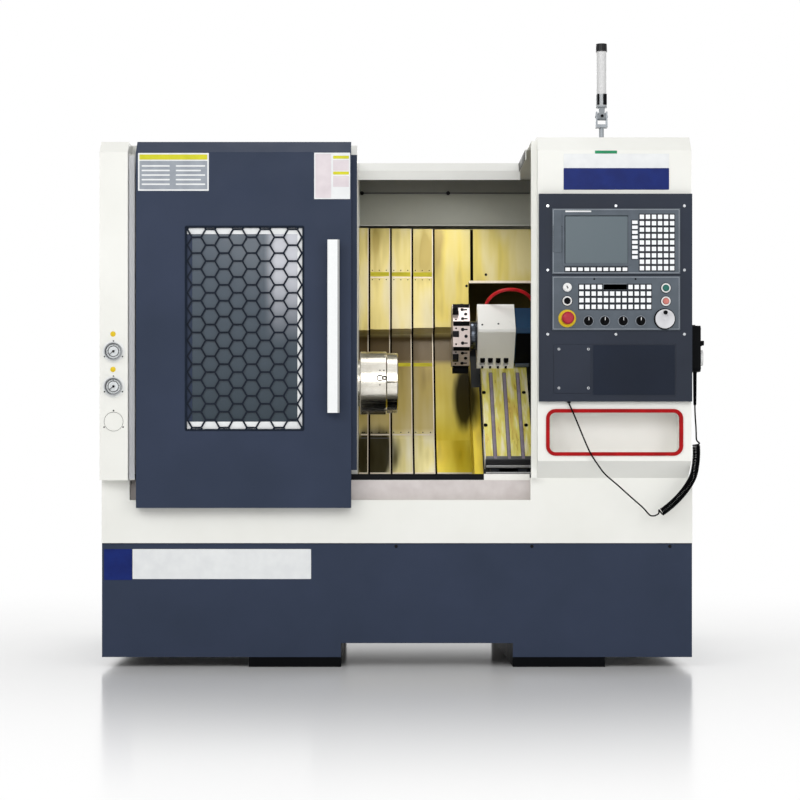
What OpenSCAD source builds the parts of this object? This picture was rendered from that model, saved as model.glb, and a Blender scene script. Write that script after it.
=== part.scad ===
// CNC turning lathe with a slant bed, sliding door, tool turret and control cabinet.
// Millimetres. X runs along the spindle to the right, Y goes back from the operator, Z is up.
// Places are counted from the left end, the front of the base skirt and the floor.
// seat() moves everything so that the origin lies on the floor under the middle of the machine.

/* [Base] */
// Width of the base
base_w = 1950; // [1920:10:2050]
// Depth of the base, front of the skirt to the rear cover
base_d = 1300; // [1280:10:1400]
// Height of the top edge of the base skirt
skirt_top = 410; // [400:2:430]
// Gap between the floor and the lower edge of the skirt
skirt_gap = 33; // [20:1:50]
// Thickness of the folded sheet panels
sheet_t = 3; // [2:0.5:4]
// Distance of the notch from the right end of the base
notch_end = 592; // [560:4:640]
// Width of the notch under the base
notch_w = 568; // [500:10:620]
// Height of the notch, which is the height of the feet
notch_h = 79; // [60:1:100]
// Width of one foot
foot_w = 305; // [250:5:340]
// Top of the base casting
deck_z = 400; // [380:2:400]
// Wall thickness of the base casting
cast_wall = 32; // [26:1:40]
// Thickness of the foot floor
foot_floor = 28; // [22:1:36]
// Radius of the threaded levelling holes in the feet
level_r = 10.25; // [8:0.25:14]
// Depth of the levelling holes
level_deep = 60; // [40:1:70]
// Distance of the levelling holes from the front and rear of the casting
level_inset = 120; // [80:5:180]

/* [Front apron and rails] */
// How far the apron stands out in front of the skirt
apron_proud = 8; // [4:1:14]
// Height of the ledge in the recessed sill
ledge_z = 552; // [530:2:570]
// Height of the top of the sill
sill_z = 618; // [605:1:625]
// How far the recessed sill goes back
sill_back = 30; // [20:1:32]
// Rear edge of the sill flange
flange_back = 75; // [72:1:90]
// Side of the square door rails
rail_s = 20; // [16:1:20]

/* [Enclosure] */
// Width of the left column
col_w = 92; // [86:1:104]
// How far the door and the left column stand out in front of the skirt
door_proud = 62; // [55:1:70]
// Height where the top bevel of door and column starts
bevel_z = 1693; // [1680:1:1700]
// Height of the roof underside
roof_z = 1730; // [1725:1:1760]
// Depth of the headstock guard front
guard_y = 64; // [62:1:70]
// Depth of the hood edge over the work area
hood_y = 450; // [420:5:480]
// Height of the hood lip
hood_lip = 63; // [50:1:80]
// Height of the slanted upper part of the hood lip
hood_slant = 31; // [20:1:40]
// Height of the lip on the right side of the roof opening
side_lip = 32; // [20:1:60]
// Distance of that lip from the jamb
side_in = 6; // [4:1:12]
// Width of the lip of the left column beside the door
col_lip = 18; // [12:1:18]
// Depth of the inner back wall under the hood
back_y = 895; // [880:5:920]
// Lower edge of the inner back wall
back_z = 1558; // [1556:1:1580]

/* [Door] */
// Gap between the left column and the door
door_gap = 27; // [21:1:34]
// Width of the door front
door_w = 705; // [690:5:730]
// Lower edge of the door
door_z = 527; // [500:1:540]
// Depth of the folded door pan
door_deep = 45; // [40:1:48]
// Width of the recessed flange on the right of the door
door_lap = 19; // [12:1:25]
// Left edge of the window, from the left edge of the door
win_x = 164; // [150:1:190]
// Width of the door right of the window
win_end = 157; // [140:1:180]
// Lower edge of the window
win_z = 783; // [760:1:800]
// Height of the window
win_h = 665; // [600:5:690]
// Flat to flat size of one honeycomb cell, centre to centre
hex_pitch = 52; // [46:1:60]
// Web between two honeycomb cells
hex_web = 5.5; // [4:0.5:8]
// Distance of the handle from the right edge of the door
grip_end = 37; // [26:1:50]
// Lower end of the handle, from the lower edge of the door
grip_z = 311; // [280:1:340]
// Width of the door handle
grip_w = 40; // [34:1:46]
// Length of the door handle
grip_l = 564; // [480:4:600]
// How far the handle stands out from the door
grip_out = 44; // [36:1:50]
// Thickness of the grip bar
grip_t = 16; // [12:1:20]

/* [Control cabinet] */
// Width of the cabinet front
cab_w = 502; // [496:1:510]
// Width of the jamb between cabinet and work area
jamb_w = 18; // [14:1:26]
// Depth of the folded edge of the jamb
jamb_fold = 20; // [12:1:30]
// Gap between the cabinet side and the end of the base
cab_inset = 14; // [8:1:20]
// How far the cabinet stands out in front of the skirt
cab_proud = 80; // [74:1:86]
// Depth of the rear face of the cabinet
cab_back = 150; // [130:2:160]
// Height where the cabinet meets the apron
cab_foot = 625; // [618:1:640]
// Lower edge of the cabinet front
cab_low = 681; // [670:1:686]
// Height where the top bevel of the cabinet starts
cab_bevel = 1697; // [1690:1:1710]
// Top of the cabinet
cab_top = 1746; // [1740:1:1770]
// Width of the niche
niche_w = 432; // [400:2:440]
// Height of the niche
niche_h = 137; // [120:1:140]
// Depth of the niche behind the cabinet front
niche_deep = 90; // [60:1:120]
// Lower edge of the niche
niche_z = 706; // [703:1:708]
// Width of the red niche trim
trim_w = 12; // [10:1:14]
// Lower edge of the control plate
plate_z = 875; // [872:1:885]
// Height of the control plate
plate_h = 677; // [670:1:690]
// Depth of the control plate
plate_t = 20; // [16:1:24]

/* [Controls] */
// Thickness of the display unit and the operator panel
unit_t = 6; // [5:0.5:8]
// Distance of both units from the left edge of the control plate
unit_x = 42; // [36:1:48]
// Width of both units
unit_w = 417; // [410:1:425]
// Lower edge of the display unit, from the lower edge of the plate
disp_z = 415; // [412:1:418]
// Height of the display unit
disp_h = 213; // [210:1:216]
// Lower edge of the operator panel, from the lower edge of the plate
oper_z = 232; // [230:1:234]
// Height of the operator panel
oper_h = 176; // [174:1:178]
// Width of the screen
screen_w = 207; // [200:1:209]
// Height of the screen
screen_h = 158; // [150:1:160]
// Side of a square key
key_s = 14; // [12:0.5:15.5]
// Height of the keys
key_h = 2.5; // [1.5:0.25:4]
// Radius of the emergency stop head
estop_r = 20; // [17:0.5:22]
// How far the emergency stop stands out from the operator panel
estop_out = 42; // [36:1:50]
// Radius of the push buttons and switches
push_r = 10; // [8:0.5:11]
// Radius of the override knobs
knob_r = 14; // [11:0.5:16]
// Height of the override knobs
knob_h = 17; // [12:0.5:22]
// Radius of the handwheel
wheel_r = 31; // [26:1:34]
// Thickness of the handwheel
wheel_t = 15; // [12:0.5:20]

/* [Gauges, pendant and signal tower] */
// Radius of the gauge bezels
gauge_r = 29; // [25:0.5:31]
// How far the gauges stand out
gauge_out = 18; // [12:0.5:24]
// Height of the upper gauge
gauge_z = 1040; // [1030:2:1060]
// Distance between the gauges
gauge_step = 115; // [90:1:125]
// Height of the lower end of the pendant
pend_z = 973; // [960:1:990]
// Height of the pendant
pend_h = 151; // [140:1:170]
// Width of the pendant, front to back
pend_w = 72; // [64:1:80]
// Thickness of the pendant
pend_t = 28; // [24:1:34]
// Radius of the pendant wheel
pend_r = 26; // [20:1:29]
// Distance of the signal tower from the left edge of the cabinet front
sig_x = 223; // [180:1:260]
// Height of the folding hinge above the cabinet
fold_z = 82; // [76:1:90]
// Radius of the signal tower tube
sig_r = 16; // [12:0.5:17]
// Length of the signal tower tube
sig_l = 143; // [120:1:170]

/* [Machine inside] */
// Left end of the slant bed
bed_x = 250; // [200:10:270]
// Distance of the slant bed from the right end of the base
bed_end = 250; // [200:10:260]
// Width of the flat top of the slant bed
bed_top = 55; // [48:1:70]
// Wall thickness of the slant bed
bed_wall = 42; // [34:1:48]
// Thickness of the ribs in the slant bed
bed_rib = 36; // [28:1:44]
// Number of cells in the slant bed
bed_cells = 5; // [4:1:7]
// Gap between the bed and the rear cover
bed_clear = 40; // [20:1:42]
// Depth of the spindle axis
spin_y = 400; // [392:1:406]
// Height of the spindle axis
spin_z = 953; // [945:1:965]
// Radius of the headstock barrel
head_r = 150; // [140:1:160]
// Radius of the spindle bearing seat
bear_r = 75; // [70:0.5:80]
// Radius of the chuck
chuck_r = 110; // [100:1:115]
// Length of the chuck
chuck_l = 94; // [85:1:105]
// Radius of the through bore in the chuck
bore_r = 26; // [20:1:28]
// Height of the chuck jaws
jaw_h = 38; // [30:1:44]
// Slit between two chuck jaws
jaw_slit = 6; // [6:0.5:8]
// Gap between the chuck face and the turret disc
tool_gap = 233; // [220:1:250]
// Thickness of the turret disc
disc_t = 60; // [54:1:64]
// Corner radius of the eight sided turret disc
disc_r = 118; // [110:1:122]
// Length of the turret body
turret_l = 132; // [125:1:145]
// Height of the turret body above the cross slide
turret_h = 181; // [175:1:195]
// Length of the turret body along the slope
turret_d = 147; // [140:1:160]
// Length of the turret motor
motor_l = 132; // [120:1:150]
// Radius of the turret hub behind the disc
hub_r = 50; // [44:1:70]
// Bend radius of the turret hose
hose_bend = 86; // [80:1:92]
// Radius of the turret hose
hose_r = 6; // [5:0.5:8]
// Height of the hose ends above the level of the spindle axis
hose_n = 60; // [50:1:70]
// Length of the cross slide below the spindle axis
table_low = 282; // [270:2:290]
// Length of the cross slide above the spindle axis
table_up = 330; // [324:2:340]
// Length of the saddle below the spindle axis
saddle_low = 300; // [292:2:306]
// Length of the saddle above the spindle axis
saddle_up = 345; // [340:1:350]
// Distance of the guide tongue from the lower end of the cross slide
tongue_in = 112; // [111:1:140]
// Width of the cross slide
table_w = 162; // [156:1:170]
// Thickness of the cross slide
table_t = 45; // [40:1:52]
// Spacing of the T-slots
slot_step = 48; // [44:1:52]
// Height of the cross slide ways
way_h = 50; // [44:1:60]
// Thickness of the saddle
saddle_t = 175; // [165:1:185]
// Width of the saddle
saddle_w = 230; // [215:1:250]
// Gap between saddle and bed
bed_gap = 60; // [56:1:66]
// Length of the fixed telescopic cover
cover_first = 35; // [30:1:40]
// Length of one moving telescopic cover
cover_l = 150; // [146:1:154]
// Distance between the right ends of two covers
cover_pitch = 80; // [76:1:84]
// Distance between two nested covers
cover_step = 5; // [4.5:0.25:6]
// Sheet thickness of the telescopic covers
cover_t = 2; // [1.5:0.25:2.5]

/* [Hidden] */
$fn = 40;
slope = 45;
run = 0.3;
cast_front = sheet_t;
cast_back = base_d - sheet_t;
notch_x = base_w - notch_end - notch_w;
cast_x0 = notch_x - foot_w;
cast_x1 = notch_x + notch_w + foot_w;
level_x = [notch_x - foot_w / 2, notch_x + notch_w + foot_w / 2];
level_y = [cast_front + level_inset, cast_back - level_inset];
cab_r = base_w - cab_inset;
cab_x = cab_r - cab_w;
jamb_x = cab_x - jamb_w;
hood_x = jamb_x - side_in;
roof_top = roof_z + sheet_t;
door_x = col_w + door_gap;
door_r = door_x + door_w;
win_w = door_w - win_x - win_end;
door_back = -door_proud + door_deep;
bulk_x = door_r + door_lap;
rail_y = guard_y - 8 - rail_s;
rail_top = sill_z + rail_s;
hang_z = bevel_z - 43;
// Plate in front of the cabinet, and the faces of the units on it
plate_x = cab_x + 3;
plate_y = -cab_proud - plate_t;
face_y = plate_y - unit_t;
unit_x0 = plate_x + unit_x;
disp_z0 = plate_z + disp_z;
oper_z0 = plate_z + oper_z;
// Spindle line and tool line
chuck_x = bulk_x + 7;
chuck_face = chuck_x + chuck_l;
jaw_turn = 210;
jaw_r = chuck_r - 5;
jaw_in = bore_r + 4;
disc_x = chuck_face + tool_gap;
body_x = disc_x + disc_t + 29;
motor_x = body_x + turret_l;
saddle_x = body_x - 16;
table_x = body_x + 16;
table_mid = table_x + table_w / 2;
// Levels across the slope, counted from the spindle axis
table_n = -turret_h / 2;
ways_n = table_n - table_t - way_h;
under_n = ways_n - saddle_t;
bed_n = under_n - bed_gap;
bed_l = base_w - bed_x - bed_end;
bed_foot = spin_y + (deck_z - spin_z) - 2 * bed_n * sin(slope);
bed_back = base_d - sheet_t - bed_clear;
bed_h = bed_back - bed_foot - bed_top;
table_u0 = -table_low;
table_u1 = table_up;
saddle_u0 = -saddle_low;
saddle_u1 = saddle_up;
turret_u = 175;
disc_u = turret_u + turret_d / 2;
hose_x = body_x + 33;
hose_u = turret_u + turret_d + hose_r + 4;
z_rail_u = [-150, 240];
z_rail_w = 30;
z_rail_h = 34;
way_x = [table_mid - 48, table_mid + 48];
way_w = 30;
// Telescopic cover outline, upper end first, as depth and height
cover_path = [
    [900, 1550],
    [850, 1166],
    [890, 1150],
    [680, 768],
    [540, sill_z + 16]
];
cover_end = bulk_x + cover_first;
// Pendant side and its cord
pend_x = cab_r + sheet_t;
pend_y = -cab_proud;
pend_reach = sheet_t + pend_t + 14;
lead_r = 2.5;
coil_r = 12.5;
gland = [plate_x + 98, plate_y + 10, plate_z - 6];
entry = [pend_x + pend_t / 2, pend_y + pend_w / 2, pend_z];
coil_a = gland + [281, 18, -367];
coil_b = entry + [2, -5, -213];
lead_a = [
    gland,
    gland + [8, -2, -18],
    gland + [21, -3, -48],
    gland + [48, -5, -114],
    gland + [70, -6, -163],
    gland + [99, -2, -207],
    gland + [121, 0, -234],
    gland + [162, 4, -269],
    gland + [202, 8, -305],
    gland + [242, 13, -340],
    gland + [263, 16, -364],
    gland + [271, 17, -369],
    coil_a
];
// Shares of the way from the lower to the upper end of the coil, in X, Y and Z
coil_way = [
    [0, 0, 0],
    [0.21, 0.04, 0.06],
    [0.5, 0.11, 0.19],
    [0.75, 0.22, 0.34],
    [0.91, 0.39, 0.48],
    [0.97, 0.52, 0.6],
    [1.01, 0.7, 0.76],
    [1.01, 0.87, 0.9],
    [1, 1, 1]
];
coil_run = [for (f = coil_way) [for (k = [0:2]) coil_a[k] + f[k] * (coil_b[k] - coil_a[k])]];
lead_b = [
    coil_b,
    entry + [1, -4, -173],
    entry + [-3, -1, -93],
    entry
];
// Middle of the machine, from the outermost pieces
x_mid = (cab_r + pend_reach) / 2;
y_mid = (base_d + face_y - estop_out) / 2;

// Node to draw

// Helpers
module seat() {
    translate([-x_mid, -y_mid, 0]) children();
}
module box(lo, hi) {
    translate(lo) cube(hi - lo);
}
// Outline in depth and height, drawn out along X
module along_x(x0, x1) {
    translate([x0, 0, 0]) rotate([90, 0, 90]) linear_extrude(x1 - x0) children();
}
// Outline in X and height, drawn out along Y
module along_y(y0, y1) {
    translate([0, y1, 0]) rotate([90, 0, 0]) linear_extrude(y1 - y0) children();
}
// Stands a round piece on a front face, pointing to the operator
module facing(x, y, z) {
    translate([x, y, z]) rotate([90, 0, 0]) children();
}
// Half the width of a chuck jaw at a distance from the axis
function jaw_side(r) = r * tan(60) - jaw_slit;
// Lays a round piece along +X
module axial(x, y, z) {
    translate([x, y, z]) rotate([0, 90, 0]) children();
}
// Frame of the slope: X, up the slope, away from the bed
module on_slope() {
    translate([0, spin_y, spin_z]) rotate([slope, 0, 0]) children();
}
function unit(v) = v / norm(v);
function side(a, b) = [-(b - a)[1], (b - a)[0]] / norm(b - a);
function mitre(m, n) = (m + n) / (1 + m * n);
// Open outline moved to its left by d
function moved(p, d) = [
    for (i = [0:len(p) - 1])
        let (
            before = side(p[max(i - 1, 0)], p[max(i, 1)]),
            after = side(p[min(i, len(p) - 2)], p[min(i + 1, len(p) - 1)])
        )
        p[i] + d * mitre(before, after)
];
// Closed outline moved to its left by d
function shrunk(p, d) = [
    for (i = [0:len(p) - 1])
        let (
            n = len(p),
            before = side(p[(i + n - 1) % n], p[i]),
            after = side(p[i], p[(i + 1) % n])
        )
        p[i] + d * mitre(before, after)
];
function turned(p) = [for (i = [len(p) - 1:-1:0]) p[i]];
// Folded sheet: outline with a thickness, from offset d to d + t
module folded(p, t, d = 0) {
    polygon(concat(moved(p, d), turned(moved(p, d + t))));
}
// Rectangle with round corners, centred
function round_rect(w, h, r) = [
    for (q = [0:3])
        for (k = [0:6])
            let (a = 90 * q + 15 * k, sx = (q == 0 || q == 3) ? 1 : -1, sy = q < 2 ? 1 : -1)
            [sx * (w / 2 - r) + r * cos(a), sy * (h / 2 - r) + r * sin(a)]
];
// Smooth run through the route points
function spline(p, n) = [
    for (i = [0:len(p) - 2])
        for (k = [0:(i == len(p) - 2 ? n : n - 1)])
            let (
                t = k / n,
                a = p[max(i - 1, 0)],
                b = p[i],
                c = p[i + 1],
                d = p[min(i + 2, len(p) - 1)]
            )
            0.5 * (2 * b + t * (c - a) + t * t * (2 * a - 5 * b + 4 * c - d)
                + t * t * t * (3 * b - a - 3 * c + d))
];
// Round cord along a run of points
module cord(run_pts, r, sides) {
    n = len(run_pts);
    rings = [
        for (i = [0:n - 1])
            let (
                t = unit(run_pts[min(i + 1, n - 1)] - run_pts[max(i - 1, 0)]),
                b = unit(cross(t, [0, 1, 0])),
                c = cross(b, t)
            )
            for (k = [0:sides - 1])
                run_pts[i] + r * (cos(360 * k / sides) * b + sin(360 * k / sides) * c)
    ];
    walls = [
        for (i = [0:n - 2])
            for (k = [0:sides - 1])
                let (m = (k + 1) % sides)
                [i * sides + k, i * sides + m, (i + 1) * sides + m, (i + 1) * sides + k]
    ];
    head = [for (k = [sides - 1:-1:0]) k];
    tail = [for (k = [0:sides - 1]) (n - 1) * sides + k];
    polyhedron(points = rings, faces = concat([head], walls, [tail]));
}

// Base
module base_casting() {
    cell_x = [cast_x0 + cast_wall, notch_x - cast_wall / 2];
    mid_x = [notch_x + cast_wall / 2, notch_x + notch_w - cast_wall / 2];
    cell_r = [notch_x + notch_w + cast_wall / 2, cast_x1 - cast_wall];
    color("#2B2C30") seat() difference() {
        union() {
            difference() {
                union() {
                    box([cast_x0, cast_front, notch_h], [cast_x1, cast_back, deck_z]);
                    box([cast_x0, cast_front, 0], [notch_x, cast_back, notch_h]);
                    box([notch_x + notch_w, cast_front, 0], [cast_x1, cast_back, notch_h]);
                }
                // chip and coolant sump at the front, ribbed cells under the bed
                for (y = [[cast_front + cast_wall, 390], [390 + cast_wall, cast_back - cast_wall]]) {
                    box([cell_x[0], y[0], foot_floor], [cell_x[1], y[1], deck_z + 1]);
                    box([mid_x[0], y[0], notch_h + cast_wall], [mid_x[1], y[1], deck_z + 1]);
                    box([cell_r[0], y[0], foot_floor], [cell_r[1], y[1], deck_z + 1]);
                }
            }
            // bosses of the levelling screws
            for (x = level_x)
                for (y = level_y)
                    translate([x, y, 0]) cylinder(r = 3 * level_r, h = level_deep + 15);
        }
        for (x = level_x)
            for (y = level_y)
                translate([x, y, -1]) cylinder(r = level_r, h = level_deep + 1);
    }
}
module base_skirt() {
    color("#3C4155") seat() difference() {
        union() {
            difference() {
                box([0, 0, skirt_gap], [base_w, base_d, skirt_top]);
                box([sheet_t, sheet_t, skirt_gap - 1],
                    [base_w - sheet_t, base_d - sheet_t, skirt_top - sheet_t]);
                box([30, 30, skirt_gap], [base_w - 30, base_d - 30, skirt_top + 1]);
            }
        }
        box([notch_x, -1, skirt_gap - 1], [notch_x + notch_w, base_d + 1, notch_h]);
    }
}
module slant_bed() {
    foot_y = bed_foot;
    top_z = deck_z + bed_h;
    rear_y = bed_back;
    cell = (bed_l - (bed_cells + 1) * bed_rib) / bed_cells;
    color("#4A4D55") seat() difference() {
        along_x(bed_x, bed_x + bed_l) polygon([
            [foot_y, deck_z],
            [foot_y + bed_h, top_z],
            [rear_y, top_z],
            [rear_y, deck_z]
        ]);
        // cells between the ribs, open at the rear
        for (k = [0:bed_cells - 1])
            let (x = bed_x + bed_rib + k * (cell + bed_rib))
            along_x(x, x + cell) polygon([
                [foot_y + 2.5 * bed_wall, deck_z + bed_wall],
                [foot_y + bed_h + 0.5 * bed_wall, top_z - bed_wall],
                [rear_y + 1, top_z - bed_wall],
                [rear_y + 1, deck_z + bed_wall]
            ]);
    }
}

// Apron, rails and enclosure
module front_apron() {
    mid_path = [
        [25, skirt_top],
        [-apron_proud, skirt_top],
        [-apron_proud, ledge_z],
        [sill_back, ledge_z],
        [sill_back, sill_z],
        [flange_back, sill_z],
        [flange_back, skirt_top + 30]
    ];
    left_path = [
        [25, skirt_top],
        [-apron_proud, skirt_top],
        [-apron_proud, sill_z],
        [flange_back, sill_z],
        [flange_back, skirt_top + 30]
    ];
    right_path = [
        [25, skirt_top],
        [-apron_proud, skirt_top],
        [-apron_proud, cab_foot],
        [cab_back, cab_foot]
    ];
    color("#F1EFE9") seat() union() {
        along_x(col_w, jamb_x) folded(mid_path, -sheet_t);
        along_x(sheet_t, col_w) folded(left_path, -sheet_t);
        along_x(jamb_x, base_w) folded(right_path, -sheet_t);
        box([col_w - sheet_t, -apron_proud, ledge_z - sheet_t], [col_w, flange_back, sill_z]);
        box([jamb_x, -apron_proud, ledge_z - sheet_t], [jamb_x + sheet_t, flange_back, cab_foot]);
        box([base_w - sheet_t, -apron_proud, skirt_top], [base_w, cab_back, cab_foot]);
    }
}
module door_rails() {
    color("#1C1D20") seat() {
        box([col_w, rail_y, sill_z], [jamb_x, rail_y + rail_s, rail_top]);
        box([door_x, guard_y - rail_s, hang_z], [bulk_x - 8, guard_y, hang_z + rail_s]);
    }
}
module left_end_cover() {
    column = [
        [guard_y, sill_z],
        [-door_proud, sill_z],
        [-door_proud, bevel_z],
        [door_back, roof_top],
        [guard_y, roof_top]
    ];
    wall = [
        [-apron_proud, skirt_top],
        [-apron_proud, sill_z],
        [-door_proud, sill_z],
        [-door_proud, bevel_z],
        [door_back, roof_top],
        [guard_y, roof_top],
        [guard_y, roof_z],
        [base_d - sheet_t, roof_z],
        [base_d - sheet_t, skirt_top]
    ];
    color("#F1EFE9") seat() difference() {
        union() {
            along_x(0, sheet_t) polygon(wall);
            along_x(0, col_w) folded(column, -sheet_t);
            along_x(col_w - sheet_t, col_w) polygon(column);
            // lip beside the door
            box([col_w - sheet_t, door_back + 1, sill_z],
                [col_w + col_lip, door_back + 1 + sheet_t, bevel_z]);
        }
        // pressed ring of the unused gauge place
        facing(col_w / 2, -door_proud + 1, gauge_z - 2 * gauge_step) difference() {
            cylinder(r = gauge_r + 3, h = 2);
            translate([0, 0, -1]) cylinder(r = gauge_r + 1.5, h = 4);
        }
    }
}
module headstock_guard() {
    edge = moved(cover_path, cover_t);
    color("#E6E4DF") seat() union() {
        box([col_w - 40, guard_y, sill_z], [bulk_x, guard_y + sheet_t, roof_z]);
        difference() {
            along_x(bulk_x - sheet_t, bulk_x) polygon(concat(
                [[guard_y, sill_z], [guard_y, roof_z], [edge[0][0], roof_z]],
                edge,
                [[edge[4][0], sill_z]]
            ));
            axial(bulk_x - 20, spin_y, spin_z) cylinder(r = bear_r + 20, h = 40);
        }
    }
}
module rear_hood() {
    lip = [
        [hood_y + hood_slant, roof_top],
        [hood_y, roof_top - hood_slant],
        [hood_y, roof_top - hood_lip]
    ];
    color("#F1EFE9") seat() union() {
        translate([0, 0, roof_z]) linear_extrude(sheet_t) polygon([
            [0, guard_y],
            [bulk_x, guard_y],
            [bulk_x, hood_y + hood_slant],
            [hood_x, hood_y + hood_slant],
            [hood_x, cab_back],
            [base_w, cab_back],
            [base_w, base_d],
            [0, base_d]
        ]);
        along_x(bulk_x, hood_x + sheet_t) folded(lip, sheet_t);
        box([hood_x, cab_back, roof_z - side_lip], [hood_x + sheet_t, hood_y + hood_slant + 10, roof_top]);
        box([bulk_x, back_y, back_z], [base_w - sheet_t, back_y + sheet_t, roof_z]);
    }
}
module rear_cover() {
    color("#F1EFE9") seat() difference() {
        union() {
            box([0, base_d - sheet_t, skirt_top], [base_w, base_d, roof_z]);
            box([base_w - sheet_t, cab_back, skirt_top], [base_w, base_d, roof_z]);
        }
        // vent slots
        for (x = [300, base_w - 600])
            for (k = [0:8])
                box([x, base_d - 10, 900 + 40 * k], [x + 300, base_d + 1, 912 + 40 * k]);
    }
}
module control_cabinet() {
    shell = [
        [-cab_proud, cab_low],
        [-cab_proud, cab_bevel],
        [-cab_proud + 49, cab_top],
        [cab_back, cab_top],
        [cab_back, cab_foot],
        [-apron_proud, cab_foot]
    ];
    niche_mid = (cab_x + cab_r) / 2;
    color("#F4F3EF") seat() difference() {
        union() {
            difference() {
                along_x(cab_x, cab_r) polygon(shell);
                along_x(cab_x + sheet_t, cab_r - sheet_t) polygon(shrunk(shell, -sheet_t));
                box([cab_x + 100, cab_back - 20, 900], [cab_r - 100, cab_back + 1, 1400]);
            }
            box([jamb_x, -40, cab_foot], [cab_x, -40 + sheet_t, roof_top]);
            box([jamb_x, -40, cab_foot], [jamb_x + sheet_t, jamb_fold - 40, roof_top]);
            box([jamb_x, -40, roof_z], [cab_x, cab_back, roof_top]);
            translate([niche_mid, 0, niche_z + niche_h / 2])
                along_y(-cab_proud, -cab_proud + niche_deep)
                polygon(round_rect(niche_w + 6, niche_h + 6, 26));
        }
        translate([niche_mid, 0, niche_z + niche_h / 2])
            along_y(-cab_proud - 1, -cab_proud + niche_deep - sheet_t)
            polygon(round_rect(niche_w, niche_h, 23));
    }
}
module niche_trim() {
    color("#D8232A") seat()
        translate([(cab_x + cab_r) / 2, 0, niche_z + niche_h / 2]) difference() {
            union() {
                along_y(-cab_proud - 4, -cab_proud)
                    polygon(round_rect(niche_w - 8 + 2 * trim_w, niche_h - 8 + 2 * trim_w, 19 + trim_w));
                along_y(-cab_proud - 4, -cab_proud + 10)
                    polygon(round_rect(niche_w - 2 * run, niche_h - 2 * run, 23 - run));
            }
            along_y(-cab_proud - 5, -cab_proud + 11)
                polygon(round_rect(niche_w - 8, niche_h - 8, 19));
        }
}

// Control plate and the units on it
module control_plate() {
    color("#1D1F2B") seat() difference() {
        box([plate_x, plate_y, plate_z], [cab_r, -cab_proud, plate_z + plate_h]);
        box([plate_x + sheet_t, plate_y + 4, plate_z + sheet_t],
            [cab_r - sheet_t, 1 - cab_proud, plate_z + plate_h - sheet_t]);
        // recessed blank panel under the operator panel
        box([plate_x + 172, plate_y - 1, plate_z + 15], [plate_x + 446, plate_y + 1.5, plate_z + 187]);
        // seat of the small cover plate
        box([plate_x + 46, plate_y - 1, plate_z + 25], [plate_x + 170, plate_y + 0.8, plate_z + 187]);
    }
}
module display_unit() {
    x0 = unit_x0;
    z0 = disp_z0;
    color("#8E9094") seat() difference() {
        union() {
            box([x0, face_y, z0], [x0 + unit_w, plate_y, z0 + disp_h]);
            // raised bezel round the screen and the door of the service port
            box([x0 + 33, face_y - 2, z0 + 28], [x0 + 255, face_y, z0 + disp_h - 12]);
            box([x0 + 5, face_y - 2, z0 + 70], [x0 + 30, face_y, z0 + 158]);
        }
        box([x0 + 40, face_y - 3, z0 + 34], [x0 + 40 + screen_w, face_y + 2, z0 + 34 + screen_h]);
        // seats of the three keypads
        box([x0 + 40, face_y - 1, z0 + 5], [x0 + 247, face_y + 1, z0 + 25]);
        box([x0 + 258, face_y - 1, z0 + 46], [x0 + 280, face_y + 1, z0 + 176]);
        box([x0 + 282, face_y - 1, z0 + 8], [x0 + 400, face_y + 1, z0 + 196]);
    }
}
module display_screen() {
    color("#1B2630") seat()
        box([unit_x0 + 40, face_y, disp_z0 + 34],
            [unit_x0 + 40 + screen_w, face_y + 2, disp_z0 + 34 + screen_h]);
}
// Key mat with a grid of keys on it
module mat(x0, z0, x1, z1, cols, rows, kw, kh, blank = []) {
    px = (x1 - x0) / cols;
    pz = (z1 - z0) / rows;
    union() {
        box([x0, face_y - 0.2, z0], [x1, face_y + 1, z1]);
        // small blank display in the place of some keys of the top row
        if (len(blank) == 2)
            box([x0 + px * blank[0] + 2, face_y - 1.2, z1 - pz + 2],
                [x0 + px * blank[1] + px - 2, face_y, z1 - 2]);
        for (i = [0:cols - 1])
            for (j = [0:rows - 1])
                if (len(blank) == 0 || j < rows - 1 || i < blank[0] || i > blank[1])
                    translate([
                        x0 + px * (i + 0.5) - kw / 2,
                        face_y - 0.2 - key_h,
                        z0 + pz * (j + 0.5) - kh / 2
                    ]) cube([kw, key_h + 0.2, kh]);
    }
}
module keypads() {
    color("#D9DADB") seat() {
        mat(unit_x0 + 40, disp_z0 + 5, unit_x0 + 247, disp_z0 + 25, 10, 1, 15, 11);
        mat(unit_x0 + 258, disp_z0 + 46, unit_x0 + 280, disp_z0 + 176, 1, 8, 18, 11);
        mat(unit_x0 + 282, disp_z0 + 8, unit_x0 + 400, disp_z0 + 196, 6, 9, key_s, key_s);
        mat(unit_x0 + 85, oper_z0 + 65, unit_x0 + 325, oper_z0 + 151, 12, 4, key_s, key_s, [4, 7]);
    }
}
module operator_panel() {
    x0 = unit_x0;
    z0 = oper_z0;
    color("#7F8286") seat() difference() {
        union() {
            box([x0, face_y, z0], [x0 + unit_w, plate_y, z0 + oper_h]);
            for (p = [[49, 95], [370, 137], [370, 94]])
                facing(x0 + p[0], face_y, z0 + p[1]) cylinder(r = push_r + 5, h = 3);
        }
        box([x0 + 85, face_y - 1, z0 + 65], [x0 + 325, face_y + 1, z0 + 151]);
        for (p = [[49, 95], [370, 137], [370, 94]])
            facing(x0 + p[0], face_y + unit_t + 1, z0 + p[1]) cylinder(r = push_r + run, h = unit_t + 5);
        facing(x0 + 49, face_y + unit_t + 1, z0 + 38) cylinder(r = 13, h = unit_t + 2);
        for (p = [[49, 139], [118, 30], [171, 30], [231, 30], [288, 30], [366, 36]])
            facing(x0 + p[0], face_y + unit_t + 1, z0 + p[1]) cylinder(r = 6 + run, h = unit_t + 2);
    }
}
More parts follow.
